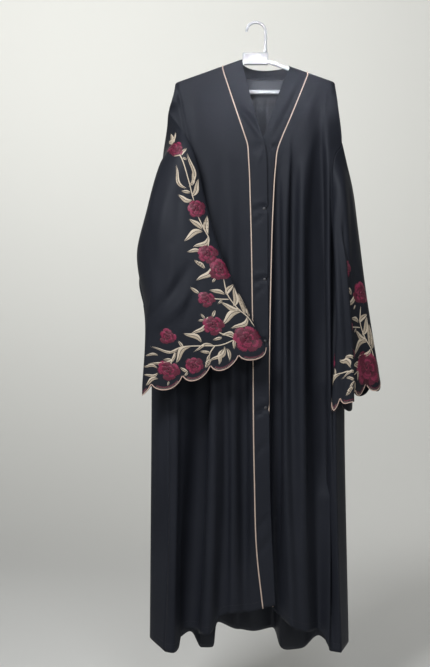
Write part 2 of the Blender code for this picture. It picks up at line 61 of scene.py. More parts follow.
def add_lamp(name, place, aim, size, watts, colour, spread=180.0):
    """A broad lamp that is turned towards its aim and that the camera doesn't see."""
    light = bpy.data.lights.new(name, "AREA")
    light.shape = "RECTANGLE"
    light.size, light.size_y = size
    light.energy = watts
    light.color = colour
    light.spread = math.radians(spread)
    lamp = set_up(name, light)
    lamp.location = place
    lamp.rotation_euler = (Vector(aim) - Vector(place)).to_track_quat("-Z", "Y").to_euler()
    lamp.visible_camera = False


def circle(sides):
    """Places round a circle with a radius of one."""
    turns = np.linspace(0.0, 2 * math.pi, sides, endpoint=False)
    return np.column_stack([np.cos(turns), np.sin(turns)])


def skin_rings(net, rings, closed=False, last_cap=True):
    """Skins rings of points into a tube, capped at its ends unless it is closed, and lists its rows of
    faces."""
    skins = [[net.verts.new(point) for point in ring] for ring in rings]
    sides = len(skins[0])
    rows = []
    for here, there in zip(skins, skins[1:] + skins[:int(closed)]):
        rows.append([net.faces.new((here[k], here[(k + 1) % sides], there[(k + 1) % sides], there[k]))
                     for k in range(sides)])
    if not closed:
        net.faces.new(skins[0][::-1])
        if last_cap:
            net.faces.new(skins[-1])
    return rows


def set_sockets(finish, node, sockets):
    """Gives each socket its number or colour, or joins another node to it."""
    for key, value in sockets.items():
        if isinstance(value, bpy.types.NodeSocket):
            finish.node_tree.links.new(value, node.inputs[key])
        else:
            node.inputs[key].default_value = value


def add_node(finish, kind, sockets, **options):
    """A further node of a material, with its sockets and its own options set."""
    node = finish.node_tree.nodes.new("ShaderNode" + kind)
    for key, value in options.items():
        setattr(node, key, value)
    set_sockets(finish, node, sockets)
    return node


def new_finish(name):
    """A material with a shader, to be filled in."""
    finish = bpy.data.materials.new(name)
    finish.use_nodes = True
    return finish


def set_shader(finish, sockets):
    set_sockets(finish, finish.node_tree.nodes["Principled BSDF"], sockets)


def cloudy(finish, scale, detail, layout=None, roughness=0.5):
    """A cloudy texture, over the whole space or over a layout."""
    sockets = {"Scale": scale, "Detail": detail, "Roughness": roughness}
    if layout is not None:
        sockets["Vector"] = layout
    return add_node(finish, "TexNoise", sockets).outputs["Fac"]


def two_tones(finish, texture, deep, pale, places=(0.0, 1.0)):
    """Runs from a deep colour to a pale one with a texture."""
    ramp = add_node(finish, "ValToRGB", {"Fac": texture})
    for tone, place, colour in zip(ramp.color_ramp.elements, places, (deep, pale)):
        tone.position = place
        tone.color = (*colour, 1.0)
    return ramp.outputs["Color"]


camera_data = bpy.data.cameras.new("studio_camera")
camera_data.sensor_width = 36.0
camera_data.lens = 56.13
camera = set_up("studio_camera", camera_data)
camera.location = (-0.1025, -2.6, -0.774)
camera.rotation_euler = (math.radians(90.0), 0.0, 0.0)
bpy.context.scene.camera = camera

add_lamp("front_lamp", (-1.05, -1.75, 1.15), (0.0, 0.0, -0.25), (0.8, 0.6), 66.0, (0.98, 0.99, 1.0))
add_lamp("fill_lamp", (0.35, -2.3, 0.30), (0.0, 0.0, -0.15), (0.8, 0.6), 17.0, (0.95, 0.97, 1.0))
add_lamp("back_lamp", (1.1, 1.9, 1.2), (0.4, 0.6, -1.2), (1.6, 1.2), 26.0, (1.0, 0.99, 0.97))
add_lamp("wall_lamp", (-0.8, 3.2, 2.9), (-0.1, 6.9, 1.7), (3.6, 1.2), 150.0, (1.0, 1.0, 0.97))
add_lamp("neck_lamp", (0.10, -2.35, 0.02), (0.03, 0.03, -0.135), (0.25, 0.15), 0.30, (0.97, 0.98, 1.0), 9.0)

world = bpy.data.worlds.new("studio_air")
world.use_nodes = True
air = world.node_tree.nodes["Background"].inputs
air["Color"].default_value = (0.93, 0.96, 1.0, 1.0)
air["Strength"].default_value = 0.045
bpy.context.scene.world = world
bpy.context.scene.view_settings.view_transform = "Standard"

bend = WALL_REACH - FLOOR_REACH
studio_profile = [(0.001, 0.0), (1.2, 0.0)]
studio_profile += [(FLOOR_REACH + bend * math.sin(angle), bend * (1 - math.cos(angle)))
                   for angle in np.radians(np.linspace(0.0, 90.0, 31))]
studio_profile.append((WALL_REACH, WALL_TOP - FLOOR_HEIGHT))
floor_net = bmesh.new()
skin_rings(floor_net, [[(x * reach, y * reach, FLOOR_HEIGHT + rise) for x, y in circle(FLOOR_SIDES)[::-1]]
                       for reach, rise in studio_profile], last_cap=False)
floor_mesh = bpy.data.meshes.new("studio_floor")
floor_net.to_mesh(floor_mesh)
floor_net.free()
floor_mesh.shade_smooth()
floor_paint = new_finish("matt_pale_paint")
paint_tint = two_tones(floor_paint, cloudy(floor_paint, 1.3, 3.0), (0.70, 0.70, 0.68), (0.76, 0.76, 0.74))
set_shader(floor_paint, {"Base Color": paint_tint, "Roughness": 0.9, "Specular IOR Level": 0.1})
floor_mesh.materials.append(floor_paint)
floor = set_up("studio_floor", floor_mesh)


# Hanger: a white injection-moulded plastic one, with two arms, a trouser bar and a flat block in the
# middle that carries the hook. The bar is rougher and painted darker grey, painted shade for the shadow
# it lies in. The hook is a separate moulding pushed into the block's socket.
ARM_TOP = -0.0765
ARM_SLOPE = 0.355
ARM_BELOW_CLOTH = 0.0066
ARM_RADIUS = 0.0052
ARM_STARTS = (0.012, 0.050, 0.090, 0.130)
ARM_REACH = 0.1755
ARM_END_BULGE = 0.5
BAR_STARTS = (0.12, 0.06)
BAR_HEIGHT = -0.1705
ROD_SIDES = 20
ROD_FLATNESS = 0.8
BLOCK_SIZE = (0.064, 0.012, 0.030)
BLOCK_CENTRE = (-0.0015, 0.0, -0.0875)
BLOCK_ROUNDING = 0.0019
BLOCK_PANEL_INSETS = (0.0034, 0.0005)
BLOCK_PANEL_DEPTH = 0.0006
HOOK_RADIUS = 0.0237
HOOK_TUBE = 0.0037
HOOK_FLATNESS = 0.92
HOOK_ROOM = 0.0003
TIP_TAPER = (0.98, 0.92, 0.78, 0.45)
FOOT_FLARE = (1.35, 1.22, 1.08)


def unit(vectors):
    return vectors / np.maximum(np.linalg.norm(vectors, axis=-1, keepdims=True), 1e-12)


def moulded_rod(path, half_width, half_depth, closed=False):
    """Rings of a rounded bar along a path in the hanger's plane; a plastic bar is a little flat on its
    faces."""
    path = np.array(path, float)
    along = np.roll(path, -1, axis=0) - np.roll(path, 1, axis=0) if closed else np.gradient(path, axis=0)
    along = unit(along)
    sideways = np.column_stack([along[:, 2], np.zeros(len(path)), -along[:, 0]])
    spots = circle(ROD_SIDES)
    across, deep = (np.sign(spots) * np.abs(spots) ** ROD_FLATNESS).T[..., None]
    half_width = np.broadcast_to(half_width, len(path))[:, None, None]
    half_depth = np.broadcast_to(half_depth, len(path))[:, None, None]
    depthways = np.array([0.0, 1.0, 0.0])
    return path[:, None] + sideways[:, None] * across * half_width + depthways * deep * half_depth


def add_piece(name, net, finishes):
    """Turns a net of faces into a piece that hangs still with the rest of the cloak."""
    mesh = bpy.data.meshes.new(name)
    bmesh.ops.recalc_face_normals(net, faces=net.faces[:])
    net.to_mesh(mesh)
    net.free()
    mesh.shade_smooth()
    for finish in finishes:
        mesh.materials.append(finish)
    piece = set_up(name, mesh)
    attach(piece, "root")
    return piece


def add_bump(finish, height, distance, strength=0.5):
    bump = add_node(finish, "Bump", {"Height": height, "Distance": distance, "Strength": strength})
    set_shader(finish, {"Normal": bump.outputs["Normal"]})


def moulded_plastic(name, deep, pale, roughness, coat):
    """Injection-moulded plastic: slightly clouded, with the fine grain of its mould."""
    finish = new_finish(name)
    layout = add_node(finish, "TexCoord", {}).outputs["Object"]
    add_bump(finish, cloudy(finish, 900.0, 2.0, layout), 0.00004)
    set_shader(finish, {"Base Color": two_tones(finish, cloudy(finish, 35.0, 4.0, layout), deep, pale),
                        "Roughness": roughness, "Coat Weight": coat, "Coat Roughness": 0.2})
    return finish


white_plastic = moulded_plastic("white_moulded_plastic", (0.40, 0.41, 0.44), (0.46, 0.47, 0.50), 0.34, 0.15)
# The trouser bar's plastic is painted darker than the white: painted shade for the shadow it lies in.
bar_plastic_with_painted_shade = moulded_plastic("bar_plastic_painted_shade", (0.25, 0.26, 0.28), (0.30, 0.31, 0.33), 0.55, 0.0)

arm_drop = ARM_BELOW_CLOTH * math.hypot(1.0, ARM_SLOPE)
half_loop = [(x, 0.0, ARM_TOP - ARM_SLOPE * x - arm_drop) for x in ARM_STARTS]
end_top = ARM_TOP - ARM_SLOPE * ARM_REACH - arm_drop
end_middle, end_radius = (end_top + BAR_HEIGHT) / 2, (end_top - BAR_HEIGHT) / 2
half_loop += [(ARM_REACH + ARM_END_BULGE * end_radius * math.sin(turn), 0.0,
               end_middle + end_radius * math.cos(turn)) for turn in np.radians(np.linspace(0.0, 180.0, 13))]
half_loop += [(x, 0.0, BAR_HEIGHT) for x in BAR_STARTS]
hanger_loop = half_loop + [(-x, y, z) for x, y, z in half_loop[::-1]]
hanger_net = bmesh.new()
skin_rings(hanger_net, moulded_rod(hanger_loop, ARM_RADIUS, ARM_RADIUS, closed=True), closed=True)

block_corners = bmesh.ops.create_cube(hanger_net, size=1.0)["verts"]
bmesh.ops.scale(hanger_net, vec=BLOCK_SIZE, verts=block_corners)
bmesh.ops.translate(hanger_net, vec=BLOCK_CENTRE, verts=block_corners)
block_faces = {face for corner in block_corners for face in corner.link_faces}
block_edges = list({edge for corner in block_corners for edge in corner.link_edges})
for broad in [face for face in block_faces if abs(face.normal.y) > 0.9]:
    inward = -broad.normal
    for inset in BLOCK_PANEL_INSETS:
        bmesh.ops.inset_individual(hanger_net, faces=[broad], thickness=inset)
    bmesh.ops.translate(hanger_net, vec=inward * BLOCK_PANEL_DEPTH, verts=broad.verts)
bmesh.ops.bevel(hanger_net, geom=block_edges, offset=BLOCK_ROUNDING, segments=4, profile=0.5, affect="EDGES")
# Faces low enough to belong to the trouser bar take the darker plastic, its painted shade.
for face in hanger_net.faces:
    face.material_index = int(face.calc_center_median().z < BAR_HEIGHT + 2 * ARM_RADIUS)
hanger = add_piece("coat_hanger", hanger_net, [white_plastic, bar_plastic_with_painted_shade])
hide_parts("hanger_frame")

hook_net = bmesh.new()
block_top = BLOCK_CENTRE[2] + BLOCK_SIZE[2] / 2
bow_middle = HOOK_TUBE - HOOK_RADIUS
hook_run = [(HOOK_RADIUS, 0.0, z) for z in np.linspace(block_top + HOOK_ROOM, bow_middle, 8)[:-1]]
hook_run += [(HOOK_RADIUS * math.cos(turn), 0.0, bow_middle + HOOK_RADIUS * math.sin(turn))
             for turn in np.radians(np.linspace(0.0, 180.0, 33))]
tip_taper, foot_flare = np.ones((2, len(hook_run)))
tip_taper[-4:] = TIP_TAPER
foot_flare[:3] = FOOT_FLARE
hook_rings = moulded_rod(hook_run, HOOK_TUBE * tip_taper * foot_flare, HOOK_TUBE * HOOK_FLATNESS * tip_taper)
skin_rings(hook_net, hook_rings)
hook = add_piece("hanger_hook_arc", hook_net, [white_plastic])
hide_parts("hanger_hook")


# Back: one wide panel of soft black crepe that hangs from the shoulders in deep soft folds. It is cut
# longer than the fronts and sewn to them over the shoulders and down the sides; its neck is faced with a
# band.
CREPE_THICKNESS = 0.0008
SEAM_ROOM = 0.0001
TIPS = {"right": -0.2025, "left": 0.1975}
TIP_ROUNDING = 0.972
YOKE_DROPS = (0.006, 0.045)
YOKE_FORWARD = (0.001, 0.014)
YOKE_WIDENING = 1.004
YOKE_SHARES = {"right": 0.56, "left": 0.24}
RIDGE_TOP = -0.0765
RIDGE_SLOPE = 0.355
RIDGE_DEPTH = 0.008
RIDGE_DROP = 0.007
RIDGE_ROOM = 0.0006
NECK_STEP = 0.0015
SHOULDER_ANGLES = np.radians(np.linspace(0.0, 90.0, 9))
YOKE_ROWS = 8
ARMHOLE_ROWS = 38
SKIRT_ROWS = 110
FOLD_COLUMNS = 8
SWAY_START = -0.25
SWAY_GROWTH = 1.2
BACK_SWAY = 0.0016


def mm(*rows):
    """A table in millimetres, turned into metres."""
    return [np.array(row) * 0.001 for row in rows]


# Armholes, a row for each height: z, then x and y of the front edge, then x and y of the back edge
ARMHOLES = {
    "right": mm(
        (-218, -218, 0, -218, 0), (-255, -206, -10, -222.5, 14), (-320, -196, -18, -232.5, 24),
        (-420, -200, -26, -242, 28), (-505, -245, -14, -261, 16), (-540, -268, 0, -268, 0),
    ),
    "left": mm(
        (-298, 215, 0, 215, 0), (-330, 196, -18, 219, 14), (-390, 189, -24, 226, 24),
        (-480, 191, -24, 232, 28), (-565, 210, -12, 230, 16), (-600, 223, 0, 223, 0),
    ),
}

# Side seams below the armholes: z, x, y
SIDE_SEAMS = {
    "right": mm(
        (-600, -258, -11), (-700, -238, -27), (-850, -222, -38), (-1050, -216, -42), (-1350, -219, -44),
        (-1555, -226, -46),
    ),
    "left": mm(
        (-660, 214, -12), (-760, 200, -25), (-850, 194, -31), (-1050, 195, -34), (-1350, 201, -38),
        (-1560, 208, -40),
    ),
}

# Folds from the left side to the right, a row for each line from the shoulder to the hem. Its x at the
# shoulder, chest, waist, knee and hem, its y at the chest, waist, knee and hem, and the hem's height
# there
LEVELS = (-0.30, -0.65, -1.05)
BACK_FOLDS = mm(
    (192, 198, 220, 224, 234, 16, 10, 16, 18, -1546), (184, 170, 188, 200, 206, 30, 36, 40, 46, -1578),
    (160, 135, 150, 152, 160, 34, 30, 36, 40, -1540), (129, 108, 116, 114, 126, 34, 46, 62, 74, -1580),
    (126, 96, 100, 96, 100, 34, 44, 60, 70, -1584), (100, 74, 76, 70, 66, 34, 36, 44, 50, -1574),
    (62, 44, 40, 38, 46, 34, 52, 74, 92, -1534), (20, 12, 6, 0, -2, 34, 40, 56, 70, -1538),
    (-20, -20, -30, -38, -44, 34, 52, 76, 94, -1540), (-60, -58, -70, -80, -94, 34, 38, 48, 56, -1510),
    (-81, -76, -90, -102, -108, 34, 46, 60, 72, -1578),
    (-84, -92, -112, -122, -138, 34, 50, 68, 80, -1582),
    (-130, -128, -154, -164, -166, 34, 34, 38, 42, -1530),
    (-172, -166, -200, -208, -214, 32, 42, 50, 56, -1562),
    (-192, -196, -258, -262, -266, 16, 2, 4, 6, -1534),
)

# Neck of the back, a row for each back fold that starts there: x, y, z of the seam and of the band's
# upper edge
FIRST_NECK_FOLD = 4
NECK = mm(
    (124, 9.8, -123.2, 83, 9, -103), (100, 22, -131, 77, 27, -104), (62, 28, -134, 54, 38, -106),
    (20, 29, -134.5, 24, 41, -107.5), (-20, 28, -132, -6, 39, -105), (-56, 22, -124, -28, 27, -98.5),
    (-79, 9.8, -108.2, -35, 9, -92.5),
)

# Creases of the back: x and z of both ends, half width, height (below zero for a trough) and bow
BACK_CREASES = mm(
    (-150, -190, -50, -330, 16, 2.2, 10), (155, -210, 60, -350, 18, 2, -12),
    (-205, -330, -120, -560, 14, 3.5, 12), (-190, -360, -100, -640, 12, -3.5, 10),
    (200, -380, 120, -600, 14, 3, -10), (188, -420, 100, -680, 12, -3.2, -10),
    (-20, -150, -15, -520, 13, 2.8, 6), (35, -150, 30, -440, 12, 2.4, -5),
    (-130, -760, -150, -1320, 14, 2.6, 6), (60, -820, 52, -1380, 13, -2.4, -6),
    (172, -900, 180, -1400, 13, 2.6, 5), (2, -176, 5, -330, 4.2, -3.4, 2),
    (30, -160, 27, -330, 4.2, 3.4, -2), (-232, -800, -238, -1250, 12, 2, -5),
)


def smooth(knots, values, at, loose=False):
    """Cubic curve through the values, read at other places; it never overshoots a crest unless it is
    loose."""
    knots, values, at = (np.asarray(part, float) for part in (knots, values, at))
    shape = (-1,) + (1,) * (values.ndim - 1)
    steps = np.diff(knots).reshape(shape)
    slopes = np.diff(values, axis=0) / steps
    before, after = slopes[:-1], slopes[1:]
    near, far = steps[1:], steps[:-1]
    middle = (before * near + after * far) / (near + far)
    if not loose:
        limit = 3.0 * np.minimum(np.abs(before), np.abs(after))
        middle = np.where(before * after > 0.0, np.clip(middle, -limit, limit), 0.0)
    tangents = np.concatenate([slopes[:1], middle, slopes[-1:]])
    cell = np.clip(np.searchsorted(knots, at, side="right") - 1, 0, len(knots) - 2)
    width = steps[cell]
    s = ((at - knots[cell]) / np.diff(knots)[cell]).reshape(shape)
    return (values[cell] * (1 + 2 * s) * (1 - s) ** 2 + values[cell + 1] * s * s * (3 - 2 * s)
            + tangents[cell] * width * s * (1 - s) ** 2 + tangents[cell + 1] * width * s * s * (s - 1))


def ridge(x):
    """Height of the cloth where it lies over the hanger."""
    return RIDGE_TOP - RIDGE_SLOPE * abs(x)


def shoulder_wrap(x, depth, way):
    """Rows of one line over the hanger, from the ridge to the upright cloth: way is -1 in front, 1
    behind."""
    y = way * (RIDGE_ROOM + (depth - RIDGE_ROOM) * np.sin(SHOULDER_ANGLES))
    z = ridge(x) - RIDGE_DROP * (1 - np.cos(SHOULDER_ANGLES))
    return np.stack([np.zeros_like(y) + x, y, z], axis=1)


def line_below(wrap, table, beside, hem):
    """Goes on with a line from the hanger to the hem, through a table of falling z with x and y. Two of its
    rows lie at the heights beside the armhole's top and bottom."""
    stops = (wrap[-1, 2], *beside, hem)
    heights = np.concatenate([np.linspace(start, end, rows + 1)[1:] for start, end, rows
                              in zip(stops, stops[1:], (YOKE_ROWS, ARMHOLE_ROWS, SKIRT_ROWS))])
    table = np.array(table)
    return np.concatenate([wrap, np.column_stack([smooth(-table[:, 0], table[:, 1:], -heights), heights])])


def fold_line(fold, beside, way, neck=None):
    """One fold of a panel, which hangs from the shoulder or, behind the hanger, from the neck seam."""
    wrap = shoulder_wrap(fold[0], RIDGE_DEPTH, way)
    if neck is not None:
        wrap = neck + np.outer(np.arange(len(SHOULDER_ANGLES)), (0.0, 0.0, -NECK_STEP))
    x, y, z = wrap[-1]
    table = np.column_stack([(z, *LEVELS, fold[9]), (x, *fold[1:5]), (y, *fold[5:9])])
    return line_below(wrap, table, beside, fold[9])


def side_line(side, way):
    """Outer edge of a panel: over the hanger's end, down the dropped shoulder, the armhole and the side
    seam."""
    tip, armhole = TIPS[side], ARMHOLES[side]
    rounding = TIP_ROUNDING + (1 - TIP_ROUNDING) * np.sin(SHOULDER_ANGLES)
    wrap = shoulder_wrap(tip * rounding, RIDGE_ROOM, way)
    top, wide = wrap[-1, 2], tip * YOKE_WIDENING
    spread = wide + YOKE_SHARES[side] * (armhole[0][1] - tip)
    rows = [(top, tip, 0.0), (top - YOKE_DROPS[0], wide, -YOKE_FORWARD[0]),
            (top - YOKE_DROPS[1], spread, -YOKE_FORWARD[1])]
    rows += [(row[0], *row[2 + way:4 + way]) for row in armhole]
    return line_below(wrap, rows + SIDE_SEAMS[side], armhole_heights[side], SIDE_SEAMS[side][-1][0])


def between_lines(lines, steps):
    """The cloth between its lines, with smooth columns in every gap."""
    count = len(lines)
    return smooth(np.arange(count), np.array(lines), np.linspace(0, count - 1, (count - 1) * steps + 1))


def draw_back(line, neighbour, room):
    """Stops the cloth's edge short of its seam, so that the two pieces meet in a fine groove."""
    return line + unit(neighbour - line) * room


def outward_of(points, way):
    """Way out of the cloth at each point; way is -1 in front and 1 behind, to tell it from the way in."""
    normals = unit(np.cross(np.gradient(points, axis=0), np.gradient(points, axis=1)))
    return normals * (np.sign(normals[..., 1].mean() * way) or 1.0)


def press_creases(points, creases, way, sewn=(3, 3)):
    """Presses soft ridges and troughs into the cloth: each runs between two places, fades at its ends and
    bows. They die out in the last columns before a sewn edge, so that the seam stays shut. A lean, where
    one is given last, makes the side to the left of a falling crease broader and the other steeper."""
    outward = outward_of(points, way)
    columns = np.arange(len(points))
    free = np.clip(columns / max(sewn[0], 0.01), 0.0, 1.0)
    free = (free * np.clip((len(points) - 1 - columns) / max(sewn[1], 0.01), 0.0, 1.0))[:, None]
    for x1, z1, x2, z2, half_width, height, bow, *lean in creases:
        run = np.array([x2 - x1, z2 - z1])
        length = np.hypot(*run)
        run /= length
        x, z = points[..., 0] - x1, points[..., 2] - z1
        share = np.clip((x * run[0] + z * run[1]) / length, 0.0, 1.0)
        off = z * run[0] - x * run[1] - bow * 4 * share * (1 - share)
        swell = np.sin(np.pi * share) ** 0.8
        width = half_width * np.where(off < 0, 1 + sum(lean), 1 - sum(lean))
        points = points + outward * (height * free * swell * np.exp(-(off / width) ** 2))[..., None]
    return points


def hang_panel(lines, columns, way, sway, creases, room=SEAM_ROOM):
    """A panel between its lines, drawn back from both seams, with its creases and with the slow
    unevenness of hanging cloth: none at the shoulders and more towards the hem."""
    first, last = draw_back(lines[0], lines[1], room), draw_back(lines[-1], lines[-2], SEAM_ROOM)
    points = between_lines([first, *lines[1:-1], last], columns)
    x, z = points[..., 0], points[..., 2]
    fall = np.clip((SWAY_START - z) / SWAY_GROWTH, 0.0, 1.0)
    drift = np.sin(31 * x + 3.1 * z + 1.0) + 0.7 * np.sin(57 * x - 4.7 * z + 2.2)
    drift += 0.5 * np.sin(11 * z - 23 * x)
    edge = np.sin(np.linspace(0.0, np.pi, len(points)))[:, None] ** 0.5
    points[..., 1] += way * sway * fall * drift * edge
    return press_creases(points, creases, way)


def lengths_along(points, axis=0):
    """How far each point lies from the start of its line."""
    steps = np.linalg.norm(np.diff(points, axis=axis), axis=-1)
    return np.insert(np.cumsum(steps, axis=axis), 0, 0.0, axis=axis)


def lay_threads(face, layout, spots):
    """Gives the corners of a face their places in the thread layout."""
    for loop, spot in zip(face.loops, spots):
        loop[layout].uv = spot


def thin_cloth(name, points, inside=None, ring=False, outside_in=False):
    """A crepe piece on its outer face, lines by rows, with its flat size in metres as its thread layout,
    its thickness inside it and its inside finish there: the wrong side, painted lighter, where one is given."""
    lines, rows = points.shape[:2]
    net = bmesh.new()
    layout = net.loops.layers.uv.new("thread")
    corners = [[net.verts.new(point) for point in line] for line in points]
    across = lengths_along(np.concatenate([points, points[:int(ring)]])).mean(axis=1)
    along = lengths_along(points, 1)
    for i in range(lines - 1 + int(ring)):
        k = (i + 1) % lines
        for j in range(rows - 1):
            face = net.faces.new((corners[i][j], corners[k][j], corners[k][j + 1], corners[i][j + 1]))
            lay_threads(face, layout, ((across[i], along[i, j]), (across[i + 1], along[k, j]),
                                       (across[i + 1], along[k, j + 1]), (across[i], along[i, j + 1])))
    if outside_in:
        bmesh.ops.reverse_faces(net, faces=net.faces[:])
    mesh = bpy.data.meshes.new(name)
    net.to_mesh(mesh)
    net.free()
    mesh.shade_smooth()
    mesh.materials.append(black_crepe)
    mesh.materials.append(inside or black_crepe)
    piece = set_up(name, mesh)
    wall = piece.modifiers.new("cloth thickness", "SOLIDIFY")
    wall.thickness = CREPE_THICKNESS
    wall.offset = -1.0
    wall.material_offset = 1
    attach(piece, "root")
    return piece


def crepe_finish(name, deep, pale, specular):
    """Crepe: matt black with a cool cast, woven of hard-twisted threads that leave a fine pebbled
    grain."""
    finish = new_finish(name)
    layout = add_node(finish, "UVMap", {}, uv_map="thread").outputs["UV"]
    colour = two_tones(finish, cloudy(finish, 5.0, 5.0, layout), deep, pale, (0.3, 0.7))
    grain = cloudy(finish, 1500.0, 2.0, layout)
    fleck = add_node(finish, "MixRGB", {"Fac": 0.25, "Color1": colour, "Color2": grain},
                     blend_type="OVERLAY")
    slub = add_node(finish, "TexWave", {"Vector": layout, "Scale": 260.0, "Distortion": 3.0, "Detail": 2.0,
                                        "Detail Scale": 3.0}, bands_direction="Y")
    height = add_node(finish, "Math", {0: slub.outputs["Fac"], 1: 0.35, 2: grain}, operation="MULTIPLY_ADD")
    add_bump(finish, height.outputs["Value"], 0.00012, 0.6)
    set_shader(finish, {"Base Color": fleck.outputs["Color"], "Roughness": 0.55,
                        "Specular IOR Level": specular, "Specular Tint": (0.88, 0.92, 1.0, 1.0),
                        "Sheen Weight": 0.008, "Sheen Roughness": 0.4,
                        "Sheen Tint": (0.75, 0.80, 0.95, 1.0)})
    return finish


black_crepe = crepe_finish("black_crepe", (0.0124, 0.0138, 0.0192), (0.0166, 0.0183, 0.0248), 0.16)
# The wrong side is a little shinier, as real crepe's is, but its colour is also painted lighter than the
# right side: painted light for the inside that shows in the neck opening.
painted_light_wrong_side = crepe_finish("black_crepe_inside_painted_light", (0.0190, 0.0205, 0.0265), (0.0240, 0.0258, 0.0330),
                                0.25)

armhole_heights = {side: np.array([armhole[0][0], armhole[-1][0]]) for side, armhole in ARMHOLES.items()}
back_lines = [side_line("left", 1)]
for number, fold in enumerate(BACK_FOLDS):
    share = (number + 1) / (len(BACK_FOLDS) + 1)
    beside = armhole_heights["left"] * (1 - share) + armhole_heights["right"] * share
    neck_number = number - FIRST_NECK_FOLD
    neck = NECK[neck_number][:3] if 0 <= neck_number < len(NECK) else None
    back_lines.append(fold_line(fold, beside, 1, neck))
back_lines.append(side_line("right", 1))
back_points = hang_panel(back_lines, FOLD_COLUMNS, 1, BACK_SWAY, BACK_CREASES)
# The back's inside takes the wrong side that is painted lighter.
back = thin_cloth("back_of_cloak", back_points, painted_light_wrong_side, outside_in=True)
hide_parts("back_panel")


# Fronts: two shaped panels of the same crepe, each set into the shoulder and the side seam of the back.
# They fall straight from the hanger, smooth at the chest, and open into soft folds below the waist.
FRONT_COLUMNS = 10
FRONT_SWAY = 0.0010
PIPING_ROOM = 0.0008

# Seams of the front bands, with the piping in them: z, x, y
BAND_SEAMS = {
    "right": mm(
        (-115, -83.5, -8), (-211, -52.5, -18), (-280, -30, -26), (-304, -22.5, -28), (-340, -19.5, -30),
        (-460, -15, -34), (-740, -10, -40), (-1123, -6, -47), (-1312, 0, -50), (-1449, 15, -50),
    ),
    "left": mm(
        (-130, 128.5, -8), (-242, 83, -19), (-296, 60, -23.5), (-316, 53, -24.5), (-360, 47.5, -26.5),
        (-464, 41, -29.5), (-659, 35, -34.5), (-987, 30, -41), (-1250, 29, -44), (-1446, 40, -42),
    ),
}

# Folds from the band to the side, in the columns that the back's folds have
FRONT_FOLDS = {
    "right": mm(
        (-95, -45, -36, -30, -20, -26, -35, -38, -40, -1461),
        (-108, -70, -62, -58, -62, -26, -41, -48, -48, -1462),
        (-122, -92, -83, -78, -90, -25, -34, -40, -36, -1474),
        (-140, -118, -112, -108, -122, -25, -41, -54, -60, -1512),
        (-160, -146, -150, -148, -171, -25, -28, -24, -16, -1512),
        (-178, -168, -186, -182, -190, -21, -30, -34, -40, -1549),
        (-190, -182, -208, -198, -206, -18, -36, -46, -54, -1556),
    ),
    "left": mm(
        (140, 70, 48, 47, 58, -24, -27, -30, -26, -1474),
        (150, 92, 70, 71, 86, -25, -38, -50, -60, -1492),
        (159, 110, 86, 89, 105, -25, -28, -42, -52, -1502),
        (170, 132, 107, 111, 127, -25, -38, -46, -46, -1508),
        (179, 155, 137, 146, 156, -23, -20, -18, -14, -1513),
        (186, 172, 172, 174, 178, -22, -31, -38, -46, -1552),
    ),
}

# Creases, as the back's; where a row has one number more, it is the crease's lean, in thousandths
FRONT_CREASES = {
    "right": mm(
        (-203, -146, -176, -252, 3.6, -2.2, 2), (-194, -178, -130, -430, 5, -2.4, -4),
        (-200, -170, -142, -400, 6, 1.4, -4), (-121, -740, -160, -1600, 19, -36, 0, 500),
        (-104, -820, -120, -1560, 12, 7, 2), (-74, -900, -74, -1560, 9, -6.5, 0),
        (-200, -860, -214, -1600, 15, 4, -4), (-29, -780, -28, -1540, 11.5, -14, 0, 300),
        (-236, -980, -240, -1560, 10, -3, 3),
    ),
    "left": mm(
        (54, -360, 52, -1440, 8.5, -17, 0, 200), (90, -280, 86, -860, 10, -10, 1, -400),
        (112, -320, 112, -1500, 11, 8, 0), (162, -200, 165, -1180, 15, -34, 0, 400),
        (167, -900, 191, -1600, 14.5, -31, 3, 380), (176, -300, 188, -1500, 10, 4, 0),
        (44, -900, 46, -1500, 8, -8, -2), (172, -980, 174, -1300, 2.2, -1.2, 0),
        (193, -340, 205, -1580, 9, -12, -2),
    ),
}


def band_line(table, side):
    """One edge of a front band, from the shoulder down to the hem."""
    wrap = shoulder_wrap(table[0][1], RIDGE_DEPTH, -1)
    return line_below(wrap, table, armhole_heights[side], table[-1][0])


front_lines, front_points = {}, {}
for side, width in (("right", 0.36), ("left", 0.30)):
    lines = [band_line(BAND_SEAMS[side], side)]
    lines += [fold_line(fold, armhole_heights[side], -1) for fold in FRONT_FOLDS[side]]
    front_lines[side] = lines + [side_line(side, -1)]
    points = hang_panel(front_lines[side], FRONT_COLUMNS, -1, FRONT_SWAY, FRONT_CREASES[side], PIPING_ROOM)
    front_points[side] = points
    front = thin_cloth(f"{side}_front_panel", points, outside_in=side == "left")
    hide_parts(f"{side}_front")


# Front bands: the same crepe, doubled and sewn on with the piping in the seam. The right band laps over
# the left one below the neck opening and is pressed shut on five studs, where it is drawn into small
# creases.
BAND_COLUMNS = 16
BAND_EDGE_ROLL = 0.0022
BAND_SWELL = 0.0006
# How far out and how far back each row of the turned edge lies, in rolls
BAND_TURN = ((0.35, 0.35), (0.40, 0.95), (0.0, 1.5))
STUD_DIP = 0.0030
STUD_PRESS = 0.0008
STUD_DIP_REACH = 0.006

# Folded edges of the bands: z, x, y
BAND_EDGES = {
    "right": mm(
        (-98, -35, -8), (-130, -27, -14), (-182, -16, -21), (-225, -4.5, -25), (-263, 7, -28),
        (-295, 18.5, -30), (-370, 26, -33), (-640, 27.5, -40), (-937, 30, -46), (-1182, 33, -50),
        (-1441, 45, -50),
    ),
    "left": mm(
        (-108, 84, -8), (-136, 72, -14), (-169, 60, -18), (-207, 45, -21), (-250, 31, -23.5),
        (-290, 17, -25), (-350, 3, -28), (-640, -0.5, -35.4), (-1180, 1, -45), (-1440, 8, -44),
    ),
}

# Press studs: z, x of each
STUDS = mm(
    (-308, 14.5), (-466, 19), (-641, 20), (-793, 21), (-957, 22),
)

